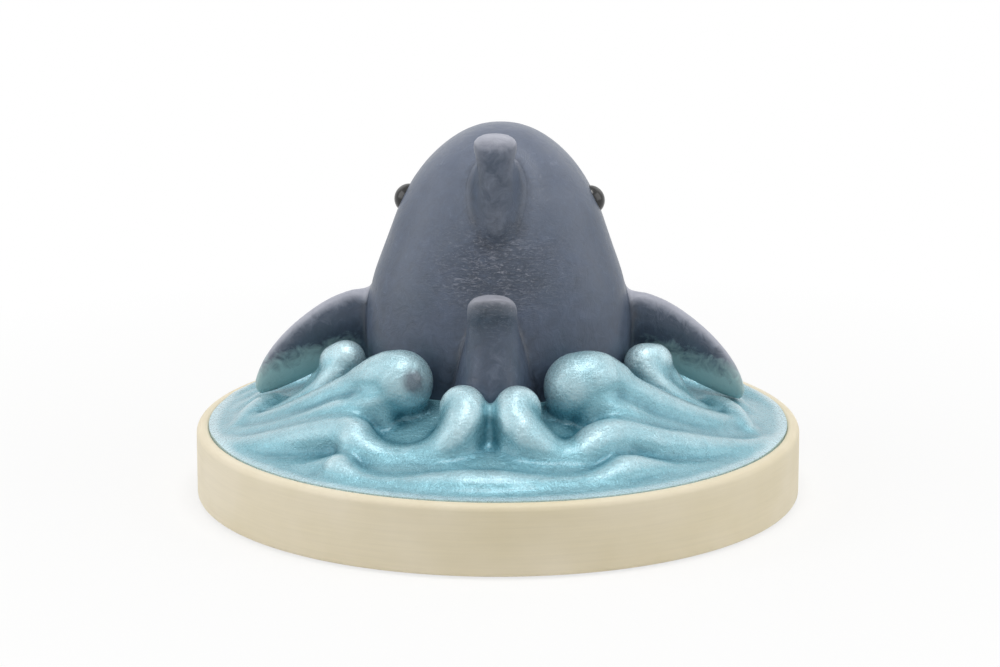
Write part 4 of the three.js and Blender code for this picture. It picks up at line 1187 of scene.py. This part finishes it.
def makeSea():
    rings = []
    levels = [(share, sea["rim"] - sea["edge"] + rise * sea["swell"]) for share, rise in sea["water"][::-1]]
    for share, height in [(1, 0)] + levels:
        radius = max(share, 0.002) * (sea["radius"] + (sea["brim"] if share == 1 else 0))
        rings.append(circleOf(radius, sea["waterSides"], height))
    water = ringStack("water", rings)
    for inFront in (False, True):
        waves = [makeRoll(rolls["lowSwell"], inFront), makeRoll(rolls["middleMound"], inFront)]
        for side in ("Left", "Right"):
            names = (("tallCurl", "underFold", "windingRoll")
                     + (() if inFront else ("sideCurl", "sideStrand", "tipSwell")))
            own = [makeRoll(rolls[name + side], inFront) for name in names]
            for name in ("tall",) if inFront else ("tall", "side"):
                own += [makeHead(row, inFront) for row in curlHeads[name + side]]
            if side == "Left":
                for wave in own:
                    mirrorOver(wave)
            waves += own
        for wave in waves:
            combine(water, wave, "UNION")
    # melted together, with the creases filled to a small round
    applyModifier(water, "REMESH", mode="VOXEL", voxel_size=sea["voxel"])
    for way in (1, -1):
        applyModifier(water, "DISPLACE", strength=way * sea["fillet"], mid_level=0.0)
        applyModifier(water, "REMESH", mode="VOXEL", voxel_size=sea["voxel"])
    applyModifier(water, "SMOOTH", factor=0.5, iterations=sea["melt"])
    combine(water, rod("edge", Vector((0, 0, -20)), Vector((0, 0, 60)), sea["radius"], sea["edgeSides"]),
            "INTERSECT")
    keepRelief(water, 50, 0.55)
    places = vertexPlaces(water)
    # the dark smudge on the left curl
    x, y, z, radius = crestOf(curlHeads["tallLeft"][-1], False)
    spot = np.array((-x + 0.45 * radius, y - 0.8 * radius, z + 0.25 * radius))
    keepAttribute(water, "smudge", np.clip(1.5 - np.linalg.norm(places - spot, axis=1) / 2.0, 0, 1))
    # cut flat a little above its foot, and drawn straight down to it
    makeActive(water)
    bpy.ops.object.mode_set(mode="EDIT")
    bpy.ops.mesh.select_all(action="SELECT")
    bpy.ops.mesh.bisect(plane_co=(0, 0, sea["underside"]), plane_no=(0, 0, 1), clear_inner=True,
                        use_fill=True)
    bpy.ops.mesh.extrude_region_move(TRANSFORM_OT_translate={"value": (0, 0, -sea["underside"])})
    bpy.ops.mesh.select_all(action="SELECT")
    bpy.ops.mesh.normals_make_consistent(inside=False)
    bpy.ops.object.mode_set(mode="OBJECT")
    print("sea melted together:", len(water.data.polygons), "faces")
    return water


# Assembly: each casting is made in its own heights and then lifted to its level in the figurine

# holes for the fixings: radius and top of the screw's and of the washer's seat, then the dowel's
screw = {"hole": 2.3, "reach": 30.3, "seat": 5.3, "seatTop": 5.6, "dowel": 1.8, "dowelPlace": 30.0,
         "dowelHalf": 3.3}


def screwHole():
    return rod("screwHole", Vector((0, 0, -1)), Vector((0, 0, screw["reach"])), screw["hole"])


def dowelHole():
    middle = Vector((screw["dowelPlace"], 0, seaFoot))
    half = Vector((0, 0, screw["dowelHalf"]))
    return rod("dowelHole", middle - half, middle + half, screw["dowel"])


def lift(piece, height):
    piece.data.transform(Matrix.Translation((0, 0, height)))


slateMaterial = makeSlatePaint()
pearlMaterial = makePearlPaint()
creamMaterial = makeCreamPaint()
beadMaterial = makeBeadGlass()
toothMaterial = makeToothEnamel()
feltMaterial = makeFelt()
print("helpers and materials ready")

seaFoot = cadSize("sea_casting")[0].z
boardPiece = makeBoard()
for hole in (screwHole(), dowelHole(),
             rod("washerSeat", Vector((0, 0, 0)), Vector((0, 0, screw["seatTop"])), screw["seat"])):
    combine(boardPiece, hole, "DIFFERENCE")
finishPiece(boardPiece, "paintedBoard", ["base_disc"], creamMaterial)
finishPiece(makePad(), "feltPad", ["felt_pad"], feltMaterial)

whole, bodyForm, finForms = makeShark()
waterPiece = makeSea()
lift(waterPiece, seaFoot)
room = grownCopy(whole, sea["sharkRoom"])
lift(room, body["foot"])
for cutter in (room, screwHole(), dowelHole()):
    combine(waterPiece, cutter, "DIFFERENCE")
finishPiece(waterPiece, "seaOfCurls", ["sea_casting"], pearlMaterial)

beads = {"leftEye": makeBead(-1), "rightEye": makeBead(1)}
for side in (-1, 1):
    combine(whole, makeBead(side, eye["room"]), "DIFFERENCE")
castings = cutShark(whole, finForms)
shapes = {
    "body": ("sharkBody", "shark_body"), "dorsal": ("dorsalFin", "dorsal_fin"),
    "tail": ("tailFin", "tail_fin"),
    "left": ("leftPectoralFin", "left_pectoral_fin"), "right": ("rightPectoralFin", "right_pectoral_fin"),
}
for name, (pieceName, node) in shapes.items():
    lift(castings[name], body["foot"])
    if name == "body":
        combine(castings[name], screwHole(), "DIFFERENCE")
    finishPiece(castings[name], pieceName, [node], slateMaterial)
for pieceName, node in (("leftEye", "left_eye"), ("rightEye", "right_eye")):
    lift(beads[pieceName], body["foot"])
    finishPiece(beads[pieceName], pieceName, [node], beadMaterial)
for pieceName, node, count, drop, way in (
    ("upperTeeth", "upper_teeth", teeth["upper"], mouth["upperDrop"], -1),
    ("lowerTeeth", "lower_teeth", teeth["lower"], mouth["lowerDrop"], 1),
):
    row = makeTeeth(pieceName, count, drop, way)
    lift(row, body["foot"])
    finishPiece(row, pieceName, [node], toothMaterial)
bpy.data.objects.remove(bodyForm)
for form in finForms.values():
    bpy.data.objects.remove(form)

for node, material in (("fixing_screw", makeZincSteel()), ("screw_washer", None),
                       ("locating_dowel", makeBeech())):
    material = material or bpy.data.materials["zincPlatedSteelTurned"]
    piece = bpy.data.objects[node]
    for slot in piece.material_slots:
        slot.link = "OBJECT"
        slot.material = material


# Stage: a pale table that fades into white, soft boxes overhead and at both sides

def seenDirectly(tree):
    # 1 for what the camera, a gloss or a glass sees, 0 for the light that falls on the figurine
    path = addNode(tree, "LightPath")
    seen = addNode(tree, "Math", {"operation": "MAXIMUM"},
                   {0: path.outputs["Is Camera Ray"], 1: path.outputs["Is Glossy Ray"]})
    seenToo = addNode(tree, "Math", {"operation": "MAXIMUM"},
                      {0: seen.outputs[0], 1: path.outputs["Is Transmission Ray"]})
    return seenToo.outputs[0]


def makeStage():
    deselectAll()
    bpy.ops.mesh.primitive_circle_add(vertices=128, radius=4, fill_type="NGON")
    floor = bpy.context.object
    floor.name = "paleTable"
    material, tree, shader, place = newMaterial("whiteMattTable")
    shader.inputs["Base Color"].default_value = linearColour("#f2f2f0")
    shader.inputs["Roughness"].default_value = 0.9
    shader.inputs["Specular IOR Level"].default_value = 0.1
    seen = seenDirectly(tree)
    distance = addNode(tree, "VectorMath", {"operation": "LENGTH"}, {0: place})
    fade = addNode(tree, "MapRange", {"From Min": 0.05, "From Max": 0.16, "To Min": 0.75, "To Max": 1.0},
                   {"Value": distance.outputs[1]})
    share = addNode(tree, "Math", {"operation": "MULTIPLY"}, {0: seen, 1: fade.outputs[0]})
    white = addNode(tree, "Emission", {"Color": (1, 1, 1, 1), "Strength": 1.0})
    mix = addNode(tree, "MixShader", None, {0: share.outputs[0], 1: shader.outputs[0], 2: white.outputs[0]})
    tree.links.new(mix.outputs[0], tree.nodes["Material Output"].inputs["Surface"])
    floor.data.materials.append(material)

    world = bpy.data.worlds.new("whiteStudio")
    scene.world = world
    world.use_nodes = True
    tree = world.node_tree
    background = tree.nodes["Background"]
    background.inputs["Color"].default_value = (1, 1, 1, 1)
    seen = seenDirectly(tree)
    strength = addNode(tree, "MapRange", {"To Min": studio["ambient"], "To Max": 1.0}, {"Value": seen})
    tree.links.new(strength.outputs[0], background.inputs["Strength"])


# direction as bearing (0 is the camera's side, 90 the right) and height in degrees,
# then distance and size in metres, then watts
studio = {
    "ambient": 0.26,
    "lamps": [
        ("overhead", 20, 80, 0.6, 0.3, 1.95),
        ("leftBox", -75, 28, 0.6, 0.45, 1.1),
        ("rightBox", 80, 28, 0.6, 0.45, 0.9),
        ("rearLeft", -140, 35, 0.6, 0.35, 0.2),
        ("rearRight", 140, 35, 0.6, 0.35, 0.2),
    ],
}
view = {"target": (0, 0, 0.0268), "distance": 0.6616, "bearing": 2.6, "height": 14.12, "lens": 144,
        "shift": 0.002}


def directionOf(bearing, height):
    a, e = math.radians(bearing), math.radians(height)
    return Vector((math.sin(a) * math.cos(e), -math.cos(a) * math.cos(e), math.sin(e)))


def placeLamp(name, bearing, height, distance, size, watts):
    lamp = bpy.data.lights.new(name, "AREA")
    lamp.shape = "SQUARE"
    lamp.size = size
    lamp.energy = watts
    piece = bpy.data.objects.new(name, lamp)
    scene.collection.objects.link(piece)
    toLamp = directionOf(bearing, height)
    piece.location = Vector((0, 0, 0.03)) + toLamp * distance
    piece.rotation_euler = toLamp.to_track_quat("Z", "Y").to_euler()


def placeCamera():
    camera = bpy.data.cameras.new("photoView")
    camera.lens = view["lens"]
    camera.clip_start = 0.01
    camera.shift_x = view["shift"]
    piece = bpy.data.objects.new("photoView", camera)
    scene.collection.objects.link(piece)
    toCamera = directionOf(view["bearing"], view["height"])
    piece.location = Vector(view["target"]) + toCamera * view["distance"]
    piece.rotation_euler = toCamera.to_track_quat("Z", "Y").to_euler()
    scene.camera = piece


makeStage()
for lamp in studio["lamps"]:
    placeLamp(*lamp)
placeCamera()
scene.view_settings.view_transform = "Standard"
print("stage, lamps and camera placed")
